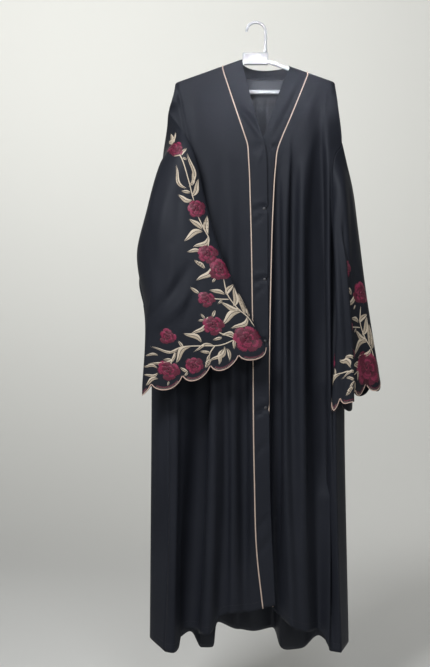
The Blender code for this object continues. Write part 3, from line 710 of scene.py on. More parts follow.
# Creases, as the fronts'
BAND_CREASES = {
    "right": mm(
        (-52, -206, 12, -292, 7, -5.2, 4), (-36, -200, 18, -270, 5.6, 3, 4),
        (-26, -302, 24, -290, 3.8, 3, 3), (-24, -326, 22, -304, 3.8, -3.4, -2),
        (0, -356, 19, -312, 3.6, 2, 0), (-16, -472, 30, -462, 4, -6.2, 1),
        (-14, -456, 30, -450, 4, 3.4, 1), (-12, -506, 26, -478, 4, -2.8, 1),
        (-13, -650, 31, -638, 4, -6.2, 2), (-12, -632, 31, -626, 4, 3.4, 1),
        (-10, -686, 26, -654, 4, -2.8, 1), (-10, -806, 32, -790, 4, -6, 2),
        (-10, -788, 30, -778, 4, 3, 1), (-8, -838, 26, -806, 4, -2.4, -1),
        (-9, -980, 32, -954, 4.4, -6.2, 2), (-8, -956, 28, -938, 4, 2.8, 1),
        (-6, -1078, 30, -1038, 5, -3.4, 2), (-6, -1262, 34, -1218, 5, -4.2, 2),
        (-2, -1322, 38, -1282, 5, -4.2, 2), (0, -1292, 36, -1252, 5, 2.6, 2),
    ),
    "left": mm(
        (58, -322, 20, -298, 4, -3.4, 2), (56, -300, 22, -290, 3.8, 2.4, 2),
        (106, -162, 46, -272, 6.4, -3, 4), (86, -168, 34, -270, 5.4, 2.2, 3),
        (70, -250, 30, -288, 5, -2.2, 2), (40, -520, 36, -900, 5, 0.8, 1),
    ),
}


def doubled_band(seam, edge):
    """A band from its seam to its folded edge: flat, with the fold rolled under to the back."""
    seam = draw_back(seam, edge, PIPING_ROOM)
    shares = np.linspace(0.0, 1.0, BAND_COLUMNS + 1) ** 0.85
    points = seam + (edge - seam) * shares[:, None, None]
    points[..., 1] -= BAND_SWELL * np.sin(np.pi * np.clip(shares * 1.05, 0.0, 1.0))[:, None]
    turned = [edge + BAND_EDGE_ROLL * (np.array([0.0, depth, 0.0]) + unit(edge - seam) * out)
              for out, depth in BAND_TURN]
    return np.concatenate([points, np.array(turned)])


band_edges = {side: band_line(edge, side) for side, edge in BAND_EDGES.items()}
drawn_edges = {side: edge.copy() for side, edge in band_edges.items()}
for z, x in STUDS[1:]:
    dip = np.exp(-((band_edges["right"][:, 2] - z) / STUD_DIP_REACH) ** 2)
    drawn_edges["right"][:, 0] -= STUD_DIP * dip
    drawn_edges["right"][:, 1] += STUD_PRESS * dip
for side in ("right", "left"):
    points = doubled_band(front_lines[side][0], drawn_edges[side])
    points = press_creases(points, BAND_CREASES[side], -1, sewn=(2, 0))
    band = thin_cloth(f"{side}_front_band", points, outside_in=side == "right")
    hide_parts(f"{side}_band")


# Back neck band: a doubled crepe facing that carries the front bands on round the back of the neck. It
# stands up behind the hanger's block and is open to the front, so that its inside shows in the neck
# opening.
NECK_COLUMNS = 8
NECK_ROWS = 12
NECK_SEAM_ROOM = 0.0004
# How far up and how far forward each row of the turned edge lies
NECK_TURN = mm((0.4, 0.6), (-0.2, 1.2))
NECK_CREASES = mm(
    (50, -112, 20, -126, 3, 0.8, 1), (4, -106, -6, -128, 3, -0.8, 1),
)

neck_ends = {side: (edge[0][1], RIDGE_ROOM, ridge(edge[0][1])) for side, edge in BAND_EDGES.items()}
neck_edge = [neck_ends["left"], *(row[3:] for row in NECK), neck_ends["right"]]
neck_seam = [line[0] for line in back_lines[FIRST_NECK_FOLD:FIRST_NECK_FOLD + len(neck_edge)]]
neck_seam_points = between_lines(neck_seam, NECK_COLUMNS)
neck_edge_points = between_lines(neck_edge, NECK_COLUMNS)
neck_across = unit(neck_edge_points - neck_seam_points)
neck_start = neck_seam_points + neck_across * NECK_SEAM_ROOM
neck_shares = np.linspace(0.0, 1.0, NECK_ROWS + 1)[:, None, None]
neck_points = neck_start + (neck_edge_points - neck_start) * neck_shares
neck_forward = unit(neck_edge_points * (1, 1, 0)) * (0, -1, 0)
neck_roll = [neck_edge_points + np.array([0.0, 0.0, rise]) + neck_forward * depth
             for rise, depth in NECK_TURN]
neck_points = np.concatenate([neck_points, np.array(neck_roll)]).transpose(1, 0, 2)
neck_points = press_creases(neck_points, NECK_CREASES, 1)
# The facing's inside, seen in the neck opening, takes the wrong side that is painted lighter.
neck_band = thin_cloth("back_neck_facing", neck_points, painted_light_wrong_side)
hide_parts("back_neck_band")


# Piping: a cord covered in rose-cream satin, caught in the seam between each front panel and its band
# from the shoulder to the hem, and carried on round the back of the neck.
PIPING_RADIUS = 0.00145
PIPING_PROUD = 0.0013
PIPING_SIDES = 10
NECK_PIPING_RISE = 0.0012
NECK_PIPING_PROUD = 0.0021


def round_cord(net, layout, path, outward, radius, sides):
    """A round cord along a path, with its length and girth in metres as its thread layout."""
    along = unit(np.gradient(path, axis=0))
    outward = unit(outward - along * np.sum(along * outward, axis=1, keepdims=True))
    spots = circle(sides) * radius
    across = np.cross(along, outward)
    rings = path[:, None] + across[:, None] * spots[:, :1] + outward[:, None] * spots[:, 1:]
    lengths, girth = lengths_along(path), 2 * math.pi * radius / sides
    for start, end, row in zip(lengths, lengths[1:], skin_rings(net, rings)):
        for k, face in enumerate(row):
            here, there = k * girth, (k + 1) * girth
            lay_threads(face, layout, ((here, start), (there, start), (there, end), (here, end)))


def thread_finish(name, pale, deep, spacing, slant, roughness, sheen):
    """Threads laid side by side: fine ribs across the layout, each thread a little lighter or darker."""
    finish = new_finish(name)
    layout = add_node(finish, "UVMap", {}, uv_map="thread").outputs["UV"]
    split = add_node(finish, "SeparateXYZ", {"Vector": layout}).outputs
    lean = add_node(finish, "Math", {0: split["X"], 1: slant, 2: split["Y"]}, operation="MULTIPLY_ADD")
    count = add_node(finish, "Math", {0: lean.outputs["Value"], 1: 2 * math.pi / spacing},
                     operation="MULTIPLY")
    rib = add_node(finish, "Math", {0: count.outputs["Value"]}, operation="SINE")
    add_bump(finish, rib.outputs["Value"], spacing * 0.2)
    streak = cloudy(finish, 0.16 / spacing, 4.0, layout, 0.7)
    set_shader(finish, {"Base Color": two_tones(finish, streak, deep, pale, (0.34, 0.64)),
                        "Roughness": roughness, "Sheen Weight": sheen, "Sheen Roughness": 0.3})
    return finish


rose_cream_satin = thread_finish("rose_cream_satin", (0.72, 0.57, 0.475), (0.58, 0.44, 0.355), 0.0006, 0.6,
                                 0.38, 0.1)
neck_path = neck_seam_points + neck_across * NECK_PIPING_RISE
for name, path, before, after, proud, node in (
        ("right_piping_cord", front_lines["right"][0], front_lines["right"][1], drawn_edges["right"], 0.0,
         "right_piping"),
        ("left_piping_cord", front_lines["left"][0], drawn_edges["left"], front_lines["left"][1], 0.0,
         "left_piping"),
        ("neck_piping_cord", neck_path, neck_seam_points, neck_edge_points, NECK_PIPING_PROUD,
         "back_neck_piping")):
    outward = unit(np.cross(np.gradient(path, axis=0), after - before))
    piping_net = bmesh.new()
    round_cord(piping_net, piping_net.loops.layers.uv.new("thread"),
               path + outward * (proud + PIPING_PROUD - PIPING_RADIUS), outward, PIPING_RADIUS, PIPING_SIDES)
    piping = add_piece(name, piping_net, [rose_cream_satin])
    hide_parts(node)


# Press studs: five small nickel-plated ones, each a disc with a ball sewn inside the right band and a
# socket with a raised ring sewn on the left band. Four bars hold each half on; every face above a small
# size takes the nickel finish, and only smaller ones black thread.
STUD_THICKNESS = 0.0011
STUD_ROOM = 0.0004
STUD_SIDES = 28
CAD_WALL = 0.0012
BAR_RADIUS = 0.00022
BAR_SIDES = 6
LEAST_PLATE_FACE = 1.2e-7

# Distance from the middle and height, from the flat back of each half to its ball or its ring; then the
# same for one bar of thread
STUD_PROFILE = mm((3.6, -0.55), (4, -0.25), (4, -0.05), (3.4, 0.1), (1.9, 0.1), (1.6, 0.3), (1.2, 0.48),
                  (0.6, 0.55))
SOCKET_PROFILE = mm((3.6, -0.55), (4, -0.3), (4, 0), (3.4, 0.15), (3, 0.5), (2.4, 0.55), (1.9, 0.45),
                    (1.6, 0))
BAR_PROFILE = mm((2.2, 0.12), (3, 0.42), (3.8, 0.3), (4.6, -0.2))

nickel_plate = new_finish("nickel_plate")
plate_wear = cloudy(nickel_plate, 700.0, 4.0, add_node(nickel_plate, "TexCoord", {}).outputs["Object"])
add_bump(nickel_plate, plate_wear, 0.00003)
# The nickel's colour is nearly black, far darker than bright nickel: painted shade that dims the studs'
# glints where they sit in the gap between the bands.
plate_tint_painted_dark = two_tones(nickel_plate, plate_wear, (0.055, 0.055, 0.060), (0.095, 0.095, 0.100))
set_shader(nickel_plate, {"Base Color": plate_tint_painted_dark, "Metallic": 1.0, "Roughness": 0.55})
black_thread = thread_finish("black_sewing_thread", (0.022, 0.023, 0.028), (0.012, 0.013, 0.016), 0.0002,
                             0.8, 0.5, 0.1)


def read_line(places, knots, line):
    """The columns of a line's rows, read between them."""
    return np.stack([np.interp(places, knots, line[:, k]) for k in range(line.shape[1])], axis=-1)


def band_depth(side, x, z):
    """y of a front band's outside at a place on it, between its two edge lines."""
    (seam_x, seam_y), (edge_x, edge_y) = (read_line(-z, -line[:, 2], line[:, :2])
                                          for line in (front_lines[side][0], band_edges[side]))
    return seam_y + (edge_y - seam_y) * (x - seam_x) / (edge_x - seam_x)


for number, (z, x) in enumerate(STUDS, start=1):
    for kind, side, way, profile, wall in (("stud", "right", 1, STUD_PROFILE, CAD_WALL),
                                           ("socket", "left", -1, SOCKET_PROFILE, 0.0)):
        middle = np.array([x, band_depth(side, x, z) + wall + way * (STUD_ROOM + STUD_THICKNESS / 2), z])
        stud_net = bmesh.new()
        stud_layout = stud_net.loops.layers.uv.new("thread")
        skin_rings(stud_net, [[middle + (x_turn * radius, way * height, z_turn * radius)
                               for x_turn, z_turn in circle(STUD_SIDES)] for radius, height in profile])
        for x_turn, z_turn in circle(8)[1::2]:
            bar = [middle + (x_turn * reach, way * height, z_turn * reach) for reach, height in BAR_PROFILE]
            lift = np.array([[0.0, way, 0.0]])
            round_cord(stud_net, stud_layout, np.array(bar), lift, BAR_RADIUS, BAR_SIDES)
        for face in stud_net.faces:
            plated = len(face.verts) == STUD_SIDES or face.calc_area() > LEAST_PLATE_FACE
            face.material_index = 0 if plated else 1
        half = add_piece(f"press_{kind}_half_{number}", stud_net, [nickel_plate, black_thread])
        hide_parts(f"press_{kind}_{number}")


# Sleeves: two wide bell sleeves of the same crepe, each closed by one underarm seam and set into its
# armhole. The hem is cut in nine scallops; the right sleeve is turned so that its embroidered side shows
# in front.
SLEEVE_LINES = 8
SLEEVE_COLUMNS = 180
SLEEVE_ROWS = 132
ARMHOLE_SEAM_ROOM = 0.0006
SCALLOP_COUNT = 9
SCALLOP_DEPTH = 0.022
SCALLOP_BOW = 0.31
HEM_ROWS = 8
HEM_SPARE = 1.1

# Sections below the armhole, each at its share of the sleeve's length: x, y and z of eight lines round
# it. They are the fold at the top line, three lines on the side that faces forward at the armhole, the
# underarm seam, and three on the other side
SECTION_PLACES = (0.0, 0.15, 0.35, 0.60, 0.80, 1.00)
SLEEVE_SECTIONS = {
    "right": mm(
        ((-163, -55, -311), (-178, -44, -385), (-202, -40, -470), (-250, -30, -560), (-274, -4, -600),
         (-262, 26, -500), (-242, -18, -365), (-199, -54, -318)),
        ((-127, -64, -448), (-165, -50, -500), (-222, -46, -560), (-286, -16, -620), (-284, -20, -655),
         (-294, -30, -565), (-256, -70, -486), (-190, -88, -462)),
        ((-86, -80, -588), (-150, -56, -622), (-220, -54, -650), (-272, -42, -690), (-272, -60, -725),
         (-252, -94, -675), (-205, -106, -634), (-148, -104, -608)),
        ((-34, -86, -700), (-100, -64, -730), (-170, -62, -758), (-238, -62, -786), (-272, -80, -806),
         (-228, -102, -777), (-168, -112, -746), (-102, -108, -722)),
        ((21, -88, -808), (-55, -70, -830), (-130, -66, -858), (-205, -68, -886), (-278, -86, -902),
         (-205, -104, -884), (-130, -110, -858), (-55, -106, -830)),
    ),
    "left": mm(
        ((236, 4, -390), (212, -36, -420), (190, -42, -500), (196, -40, -600), (226, -12, -650),
         (240, 26, -600), (246, 50, -520), (248, 42, -440)),
        ((254, 4, -510), (228, -40, -530), (200, -56, -590), (193, -56, -660), (206, -44, -715),
         (238, 10, -680), (246, 66, -620), (262, 62, -560)),
        ((273, 0, -660), (242, -36, -670), (214, -62, -710), (196, -66, -750), (198, -50, -790),
         (236, -6, -780), (246, 84, -745), (274, 84, -700)),
        ((292, 4, -780), (254, -30, -785), (224, -64, -815), (195, -70, -845), (192, -52, -870),
         (238, -10, -870), (248, 100, -850), (286, 104, -815)),
        ((312, 10, -896), (266, -28, -898), (232, -64, -918), (190, -70, -938), (187, -52, -944),
         (238, -10, -944), (252, 112, -930), (300, 120, -908)),
    ),
}

# Pleat of the left sleeve: its middle at the armhole and at the hem, in lines round the sleeve from the
# top line, its half width in columns, how far it laps over and stands out, and where it starts and how
# soon it is full
PLEAT_TOP, PLEAT_HEM = 1.22, 2.12
PLEAT_COLUMNS = 8.0
PLEAT_LAP = 0.0190
PLEAT_RISE = 0.0085
PLEAT_START, PLEAT_GROWTH = 0.22, 0.22

# Creases of the sleeves' forward sides, and the first and last column of that side
SLEEVE_CREASES = {
    "right": mm(
        (-272, -742, -160, -600, 11, -6, -10), (-262, -770, -140, -640, 12, 4, -12),
        (-180, -760, -135, -640, 10, -4, 6), (-236, -740, -205, -560, 14, 3.6, -10),
        (-250, -650, -262, -726, 2.2, 1.2, 0), (-205, -400, -235, -620, 14, 3, -12),
        (-178, -380, -190, -560, 11, -2.4, -6), (-225, -330, -258, -520, 12, 2, -10),
    ),
    "left": mm(
        (210, -350, 224, -640, 11, 2.2, 4), (230, -400, 236, -620, 8, -2.6, 3),
        (198, -660, 216, -860, 8, 1.8, -4),
    ),
}
FORWARD_COLUMNS = {"right": (94, 178), "left": (4, 86)}


def armhole_loop(front, behind):
    """Points round an armhole, from its top down the front and up the back, from two lines of a body's
    rows."""
    places = len(SHOULDER_ANGLES) + YOKE_ROWS - 1 + np.linspace(0, ARMHOLE_ROWS, SLEEVE_COLUMNS // 2 + 1)
    down_front, down_back = (read_line(places, np.arange(len(line)), line) for line in (front, behind))
    for end in (0, -1):
        down_front[end] = (down_front[end] + down_back[end]) / 2
    return np.concatenate([down_front, down_back[::-1][1:-1]])


def sleeve_net(armhole, sections):
    """Columns of a sleeve before its hem is cut, from the armhole past the deepest scallop."""
    around = np.arange(SLEEVE_COLUMNS) * SLEEVE_LINES / SLEEVE_COLUMNS
    rings = [armhole]
    for lines in sections:
        wrapped = np.concatenate([lines[-2:], lines, lines[:3]])
        rings.append(smooth(np.arange(-2, SLEEVE_LINES + 3), wrapped, around, loose=True))
    rows = smooth(SECTION_PLACES, np.array(rings), np.linspace(0, 1, SLEEVE_ROWS + 1), loose=True)
    rows[0] += unit(rows[1] - rows[0]) * ARMHOLE_SEAM_ROOM
    drops = np.outer(np.arange(1, HEM_ROWS + 1), (0.0, 0.0, SCALLOP_DEPTH * HEM_SPARE / HEM_ROWS))
    return np.concatenate([rows, rows[-1] - drops[:, None]]).transpose(1, 0, 2)


def press_sleeve(net, creases, first, last):
    """Creases on the columns of one side of a sleeve only."""
    part = np.arange(first, last + 1) % SLEEVE_COLUMNS
    pressed = press_creases(net[part], creases, -1)
    blend = np.clip(np.sin(np.linspace(0.0, np.pi, len(part)))[:, None, None] * 4.0, 0.0, 1.0)
    net[part] += (pressed - net[part]) * blend


def lay_pleat(net):
    """Folds the hanging sleeve over on itself: a soft pleat laps the plain cloth over the embroidered
    side."""
    share = np.minimum(np.arange(net.shape[1]) / SLEEVE_ROWS, 1.0)
    centre = (PLEAT_TOP + (PLEAT_HEM - PLEAT_TOP) * share) * SLEEVE_COLUMNS / SLEEVE_LINES
    strength = np.clip((share - PLEAT_START) / PLEAT_GROWTH, 0.0, 1.0)
    strength = strength * strength * (3 - 2 * strength)
    from_centre = (np.arange(len(net))[:, None] - centre) / PLEAT_COLUMNS
    window = np.clip(1 - from_centre ** 2, 0.0, 1.0) ** 1.5 * strength
    along = unit(np.roll(net, -2, axis=0) - np.roll(net, 2, axis=0))
    outward = unit(np.cross(along, np.gradient(net, axis=1)))
    outward = outward * np.sign(-outward[..., 1:2])
    wave = (np.sin(np.pi * from_centre) * window)[..., None]
    return net - along * wave * PLEAT_LAP + outward * wave * PLEAT_RISE


def scallop_drop(across):
    """How deep a scallop's arc lies below its cusps, as a share of its depth, from -0.5 to 0.5 across
    it."""
    radius = (0.5 ** 2 + SCALLOP_BOW ** 2) / (2 * SCALLOP_BOW)
    return (np.sqrt(radius ** 2 - across ** 2) - (radius - SCALLOP_BOW)) / SCALLOP_BOW


def cut_scallops(net):
    """The sleeve's cloth: every column ends on the scalloped edge, in arcs that meet in cusps."""
    columns = np.arange(SLEEVE_COLUMNS)
    drop = scallop_drop((columns * SCALLOP_COUNT / SLEEVE_COLUMNS) % 1.0 - 0.5)
    ends = SLEEVE_ROWS + HEM_ROWS * drop / HEM_SPARE
    places = np.linspace(0.0, 1.0, SLEEVE_ROWS + 1) * ends[:, None]
    low = np.clip(np.floor(places).astype(int), 0, net.shape[1] - 2)
    part, index = (places - low)[..., None], columns[:, None]
    return net[index, low] * (1 - part) + net[index, low + 1] * part


sleeve_nets = {}
for side, flat in (("right", (0.70, 0.68)), ("left", (0.64, 0.63))):
    behind = back_lines[0 if side == "left" else -1]
    net = sleeve_net(armhole_loop(front_lines[side][-1], behind), SLEEVE_SECTIONS[side])
    press_sleeve(net, SLEEVE_CREASES[side], *FORWARD_COLUMNS[side])
    sleeve_nets[side] = net if side == "right" else lay_pleat(net)
    points = cut_scallops(sleeve_nets[side])
    sleeve = thin_cloth(f"{side}_bell_sleeve", points, ring=True, outside_in=side == "left")
    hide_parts(f"{side}_sleeve")


# Embroidery: machine satin stitch in straw, sand, bark, wine, burgundy and rose thread, worked on the
# flat sleeve before its seam was closed: a vine up the top line, and a border of roses and leaves over a
# scalloped edge with a satin rim.
THREAD_SPACING = 0.00045
GROUND_HEIGHT = 0.0008
HEART_HEIGHT = 0.0030
VEIN_WIDTH = 0.0006
OUTLINE_WIDTH = 0.0013
OUTLINE_ENDS = 0.0020
OUTLINE_HEIGHT = 0.00042
LEAF_HEIGHT = 0.0005
LEAF_PAD = 0.0009
SPOT_RADIUS = 0.0012
SPOT_HEIGHT = 0.0019
STRIP_FOOT = 0.0003
STEM_WIDTH = 0.0034
STEM_HEIGHT = 0.0010
LAYING_ROUNDS = 14

# Places are in millimetres on the flat sleeve: round from the top line, and up from the scallops' cusps.
# Leaves: base, tip, plumpness, bend, and whether it is spotted
VINE_LEAVES = (
    (38, 428, 24, 514, 0.13, 0.16, 0), (40, 425, 58, 496, 0.13, -0.16, 0),
    (30, 430, 20, 465, 0.24, 0.1, 0), (35, 405, 8, 445, 0.3, 0.1, 0), (35, 415, 57, 425, 0.36, 0, 0),
    (35, 395, 67, 418, 0.32, -0.14, 0), (30, 320, 56, 352, 0.34, 0.05, 0),
    (30, 315, 82, 303, 0.3, 0.12, 0), (20, 305, 8, 352, 0.34, -0.08, 1),
    (20, 300, 65, 283, 0.28, -0.18, 0), (50, 270, 82, 276, 0.32, 0.06, 0),
    (55, 225, 72, 252, 0.36, 0.06, 1), (35, 230, 86, 203, 0.27, -0.16, 0),
    (40, 196, 52, 188, 0.42, 0, 0), (92, 172, 106, 194, 0.36, 0, 0), (36, 152, 66, 172, 0.34, 0.08, 0),
    (34, 150, 4, 172, 0.36, -0.06, 0), (30, 118, 6, 166, 0.28, 0.1, 0), (12, 92, 3, 148, 0.4, 0.08, 1),
    (5, 84, -8, 116, 0.34, 0, 0), (17, 106, 54, 136, 0.3, -0.1, 0), (16, 102, 76, 82, 0.27, 0.12, 0),
    (8, 86, 60, 68, 0.24, -0.16, 0), (48, 140, 62, 134, 0.4, 0, 0), (88, 108, 74, 122, 0.4, 0, 0),
)
BORDER_LEAVES = (
    (106, 110, 110, 126, 0.36, 0, 0), (108, 108, 124, 112, 0.34, 0, 0),
    (108, 100, 152, 88, 0.24, -0.12, 0), (138, 60, 168, 96, 0.3, 0.14, 0),
    (60, 42, 88, 62, 0.34, 0.24, 0), (88, 54, 112, 56, 0.34, 0, 0), (58, 40, 76, 18, 0.3, 0.1, 0),
    (92, 32, 142, 12, 0.22, -0.18, 0), (98, 26, 124, -6, 0.28, 0.1, 0), (90, 26, 96, -6, 0.28, -0.06, 0),
    (113, 40, 168, 46, 0.14, 0.16, 0), (166, 60, 216, 34, 0.26, 0.16, 0), (183, 64, 187, 84, 0.38, 0, 0),
    (190, 66, 258, 92, 0.1, -0.14, 0), (200, 62, 286, 50, 0.1, -0.16, 0),
    (246, 64, 280, 74, 0.2, 0.1, 0), (220, 42, 242, 52, 0.26, 0.1, 0), (262, 34, 296, 48, 0.22, 0.16, 0),
    (266, 24, 304, 28, 0.22, -0.14, 0), (272, 10, 310, 0, 0.24, 0.14, 0), (200, 4, 212, 22, 0.4, 0, 0),
    (200, 4, 212, -2, 0.44, 0, 0), (250, -2, 254, -14, 0.4, 0, 0), (136, 14, 158, 0, 0.44, 0.06, 1),
    (130, 30, 152, 42, 0.32, 0, 0), (134, 26, 148, 12, 0.36, 0, 0),
)
BUD_LEAVES = (
    (40, 566, 54, 606, 0.34, 0.1, 0), (38, 568, 37, 616, 0.34, 0, 0), (34, 566, 19, 598, 0.36, -0.1, 0),
    (38, 512, 58, 522, 0.4, 0.1, 0), (38, 512, 20, 526, 0.42, -0.1, 0), (38, 506, 28, 496, 0.42, 0, 0),
)
# Stems: their places in turn
VINE_STEMS = (
    (44, 522, 40, 505, 36, 465, 33, 430, 32, 392), (32, 352, 26, 322, 20, 296, 28, 276),
    (22, 190, 30, 150, 22, 112, 8, 84, 4, 58), (32, 138, 52, 144, 72, 152),
)
BORDER_STEMS = (
    (60, 40, 100, 38, 140, 52, 184, 66, 220, 64), (62, 44, 84, 62, 92, 72), (206, 60, 222, 44, 232, 30),
    (112, 42, 128, 32, 136, 24), (106, 104, 98, 112),
)
# Roses: place, radius and turn
VINE_ROSES = (
    (32, 33, 37, 0.3), (82, 153, 21, 0.9), (34, 258, 26, 0.5), (22, 214, 30, 1.7), (30, 373, 24, 0.2),
    (46, 549, 22, 1.2), (44, 531, 18, 2.1),
)
BORDER_ROSES = (
    (94, 88, 26, 0.7), (178, 15, 22, 0.1), (240, 23, 27, 1), (206, 102, 21, 1.6),
)
LEFT_ROSES = (
    (41, 35, 47, 0.3), (32, 224, 30, 1.7), (85, 288, 21, 0.5), (96, 153, 19, 0.9), (108, 88, 24, 0.7),
    (254, 23, 25, 1), (222, 102, 22, 1.6),
)
# Rounds of a rose, from the outside in: how many petals, their spread, the shares of the radius between
# which they lie, and their heights at the edge and in the middle
ROUNDS = (
    (7, 0.52, 0.34, 1.02, 0.0006, 0.0016), (6, 0.56, 0.24, 0.78, 0.0010, 0.0023),
    (4, 0.70, 0.12, 0.54, 0.0015, 0.0028), (3, 0.90, 0.03, 0.31, 0.0020, 0.0032),
)
STRAW, SAND, BARK, WINE, BURGUNDY, ROSE, RIM = range(7)
PETAL_SHADES = (
    (WINE, BURGUNDY, ROSE, ROSE), (BURGUNDY,) * 4, (WINE, BURGUNDY, ROSE, BURGUNDY),
    (WINE, BURGUNDY, BURGUNDY, BURGUNDY),
)
# Lines of the scalloped edge: offset inside it, first and last share of the scallop, width, height and
# thread
EDGING = (
    (0.0010, 0.00, 1.00, 0.0028, 0.0010, RIM), (0.0042, 0.07, 0.93, 0.0008, 0.0006, RIM),
    (0.0068, 0.10, 0.90, 0.0036, 0.0008, BURGUNDY),
)

threads = [thread_finish(name, pale, deep, THREAD_SPACING, 0.0, roughness, sheen)
           for name, pale, deep, roughness, sheen in (
               ("straw_thread", (0.68, 0.585, 0.465), (0.52, 0.43, 0.33), 0.42, 0.08),
               ("sand_thread", (0.50, 0.42, 0.32), (0.32, 0.25, 0.18), 0.45, 0.08),
               ("bark_thread", (0.085, 0.056, 0.042), (0.045, 0.030, 0.025), 0.55, 0.0),
               ("wine_thread", (0.060, 0.004, 0.015), (0.032, 0.002, 0.008), 0.55, 0.0),
               ("burgundy_thread", (0.128, 0.007, 0.031), (0.064, 0.004, 0.016), 0.50, 0.0),
               ("rose_thread", (0.285, 0.022, 0.076), (0.150, 0.010, 0.038), 0.45, 0.03),
               ("rose_cream_rim_satin", (0.68, 0.50, 0.42), (0.52, 0.34, 0.28), 0.38, 0.1))]


def flat_sleeve(net):
    """The sleeve as it was when flat: for each point of its net, how far round and how far up it lies,
    and the way out of the cloth. Its columns run on past the top line, so that a stitch can cross it."""
    spare = SLEEVE_COLUMNS // 2
    turned = net[np.arange(-spare, SLEEVE_COLUMNS + spare + 1) % SLEEVE_COLUMNS]
    around = lengths_along(turned)
    up = lengths_along(turned, 1)
    normals = unit(np.cross(np.gradient(turned, axis=0), np.gradient(turned, axis=1)))
    return {"points": turned, "around": around - around[spare], "normals": normals, "spare": spare,
            "up": up[:, SLEEVE_ROWS:SLEEVE_ROWS + 1] - up}


def read_net(values, i, j):
    """A value of the flat sleeve between its columns and rows."""
    i, j = np.clip(i, 0, values.shape[0] - 1.001), np.clip(j, 0, values.shape[1] - 1.001)
    i0, j0 = i.astype(int), j.astype(int)
    a, b = i - i0, j - j0
    if values.ndim == 3:
        a, b = a[..., None], b[..., None]
    return (values[i0, j0] * (1 - a) * (1 - b) + values[i0 + 1, j0] * a * (1 - b)
            + values[i0, j0 + 1] * (1 - a) * b + values[i0 + 1, j0 + 1] * a * b)


def lay_on(sleeve, around, up, proud):
    """Points on the hanging sleeve for places on the flat one, in metres, standing proud of the cloth."""
    spare, last = sleeve["spare"], sleeve["spare"] + SLEEVE_COLUMNS
    round_all, length = sleeve["around"][last, -HEM_ROWS], sleeve["up"][spare, 0]
    i = spare + around / round_all * SLEEVE_COLUMNS
    j = SLEEVE_ROWS * (1 - up / length)
    for _ in range(LAYING_ROUNDS):
        i = i + (around - read_net(sleeve["around"], i, j)) / round_all * SLEEVE_COLUMNS * 0.9
        j = j + (read_net(sleeve["up"], i, j) - up) / length * SLEEVE_ROWS * 0.9
    return read_net(sleeve["points"], i, j) + read_net(sleeve["normals"], i, j) * proud[:, None]


def stitch(work, spots, proud, thread, colour):
    """A patch of satin stitch on a small net of places: its height, its threads' layout and its
    colour."""
    rows, columns = spots.shape[:2]
    first = sum(map(len, work["proud"]))
    proud, *thread = np.broadcast_arrays(proud, *thread, spots[..., 0])[:3]
    work["spots"].append(spots.reshape(-1, 2))
    work["proud"].append(proud.ravel())
    colours = np.broadcast_to(colour, (rows - 1, columns - 1))
    for r in range(rows - 1):
        for c in range(columns - 1):
            corners = ((r, c), (r + 1, c), (r + 1, c + 1), (r, c + 1))
            work["faces"].append([first + a * columns + b for a, b in corners])
            work["threads"].extend((thread[0][corner], thread[1][corner]) for corner in corners)
            work["colours"].append(int(colours[r, c]))


def stitch_disc(work, centre, radius, proud, colour):
    """A small round knot."""
    turns = np.linspace(0.0, 2 * math.pi, 9)[:, None]
    reach = np.array([0.05, 0.6, 1.0])
    spots = centre + radius * np.stack([np.cos(turns) * reach, np.sin(turns) * reach], axis=-1)
    stitch(work, spots, proud - 0.0004 * reach ** 2, (spots[..., 0], spots[..., 1]), colour)


def stitch_leaf(work, leaf):
    """A leaf in two padded halves that slant away from a sunk vein, over an outline of darker thread."""
    s1, h1, s2, h2, plump, bend, spotted = leaf
    base, tip = np.array([s1, h1]) * 0.001, np.array([s2, h2]) * 0.001
    length = np.hypot(*(tip - base))
    along = (tip - base) / length
    aside = np.array([-along[1], along[0]])
    t = np.linspace(0.0, 1.0, 13)[:, None]
    bow = bend * length * np.sin(np.pi * t) + 0.35 * bend * length * np.sin(2 * np.pi * t)
    half = plump * length * 0.50 * np.sin(np.pi * t ** 0.80) ** 0.85
    across = np.linspace(-1.0, 1.0, 5)
    outline = half + OUTLINE_WIDTH * np.sin(np.pi * np.clip(t, 0.03, 0.97)) ** 0.2
    ends = (t - 0.5) * (1 + OUTLINE_ENDS / length) + 0.5
    spots = (base + along * ends * length + aside * bow)[:, None] + aside * (across * outline)[..., None]
    proud = OUTLINE_HEIGHT - 0.0003 * np.abs(across) ** 3
    stitch(work, spots, proud, (t * length, proud), BARK)
    middle = (base + along * t * length + aside * bow)[:, None]
    share = np.linspace(0.0, 1.0, 5)
    out = VEIN_WIDTH + np.maximum(half - VEIN_WIDTH, 0.0) * share
    pad = np.sin(np.pi * (0.12 + 0.88 * share)) ** 0.6
    for side, shade in ((-1.0, SAND), (1.0, STRAW)):
        spots = middle + aside * (side * out)[..., None]
        proud = LEAF_HEIGHT + LEAF_PAD * pad * (0.35 + 0.65 * np.sin(np.pi * t))
        stitch(work, spots, proud, (t * length - 0.75 * out, out + t * 0.004), shade)
    if spotted:
        for place in (0.3, 0.48, 0.66):
            for side in (-0.4, 0.42):
                off = bend * length * math.sin(math.pi * place) + side * plump * length * 0.5
                spot = base + along * place * length + aside * off
                stitch_disc(work, spot, SPOT_RADIUS, SPOT_HEIGHT, BARK)


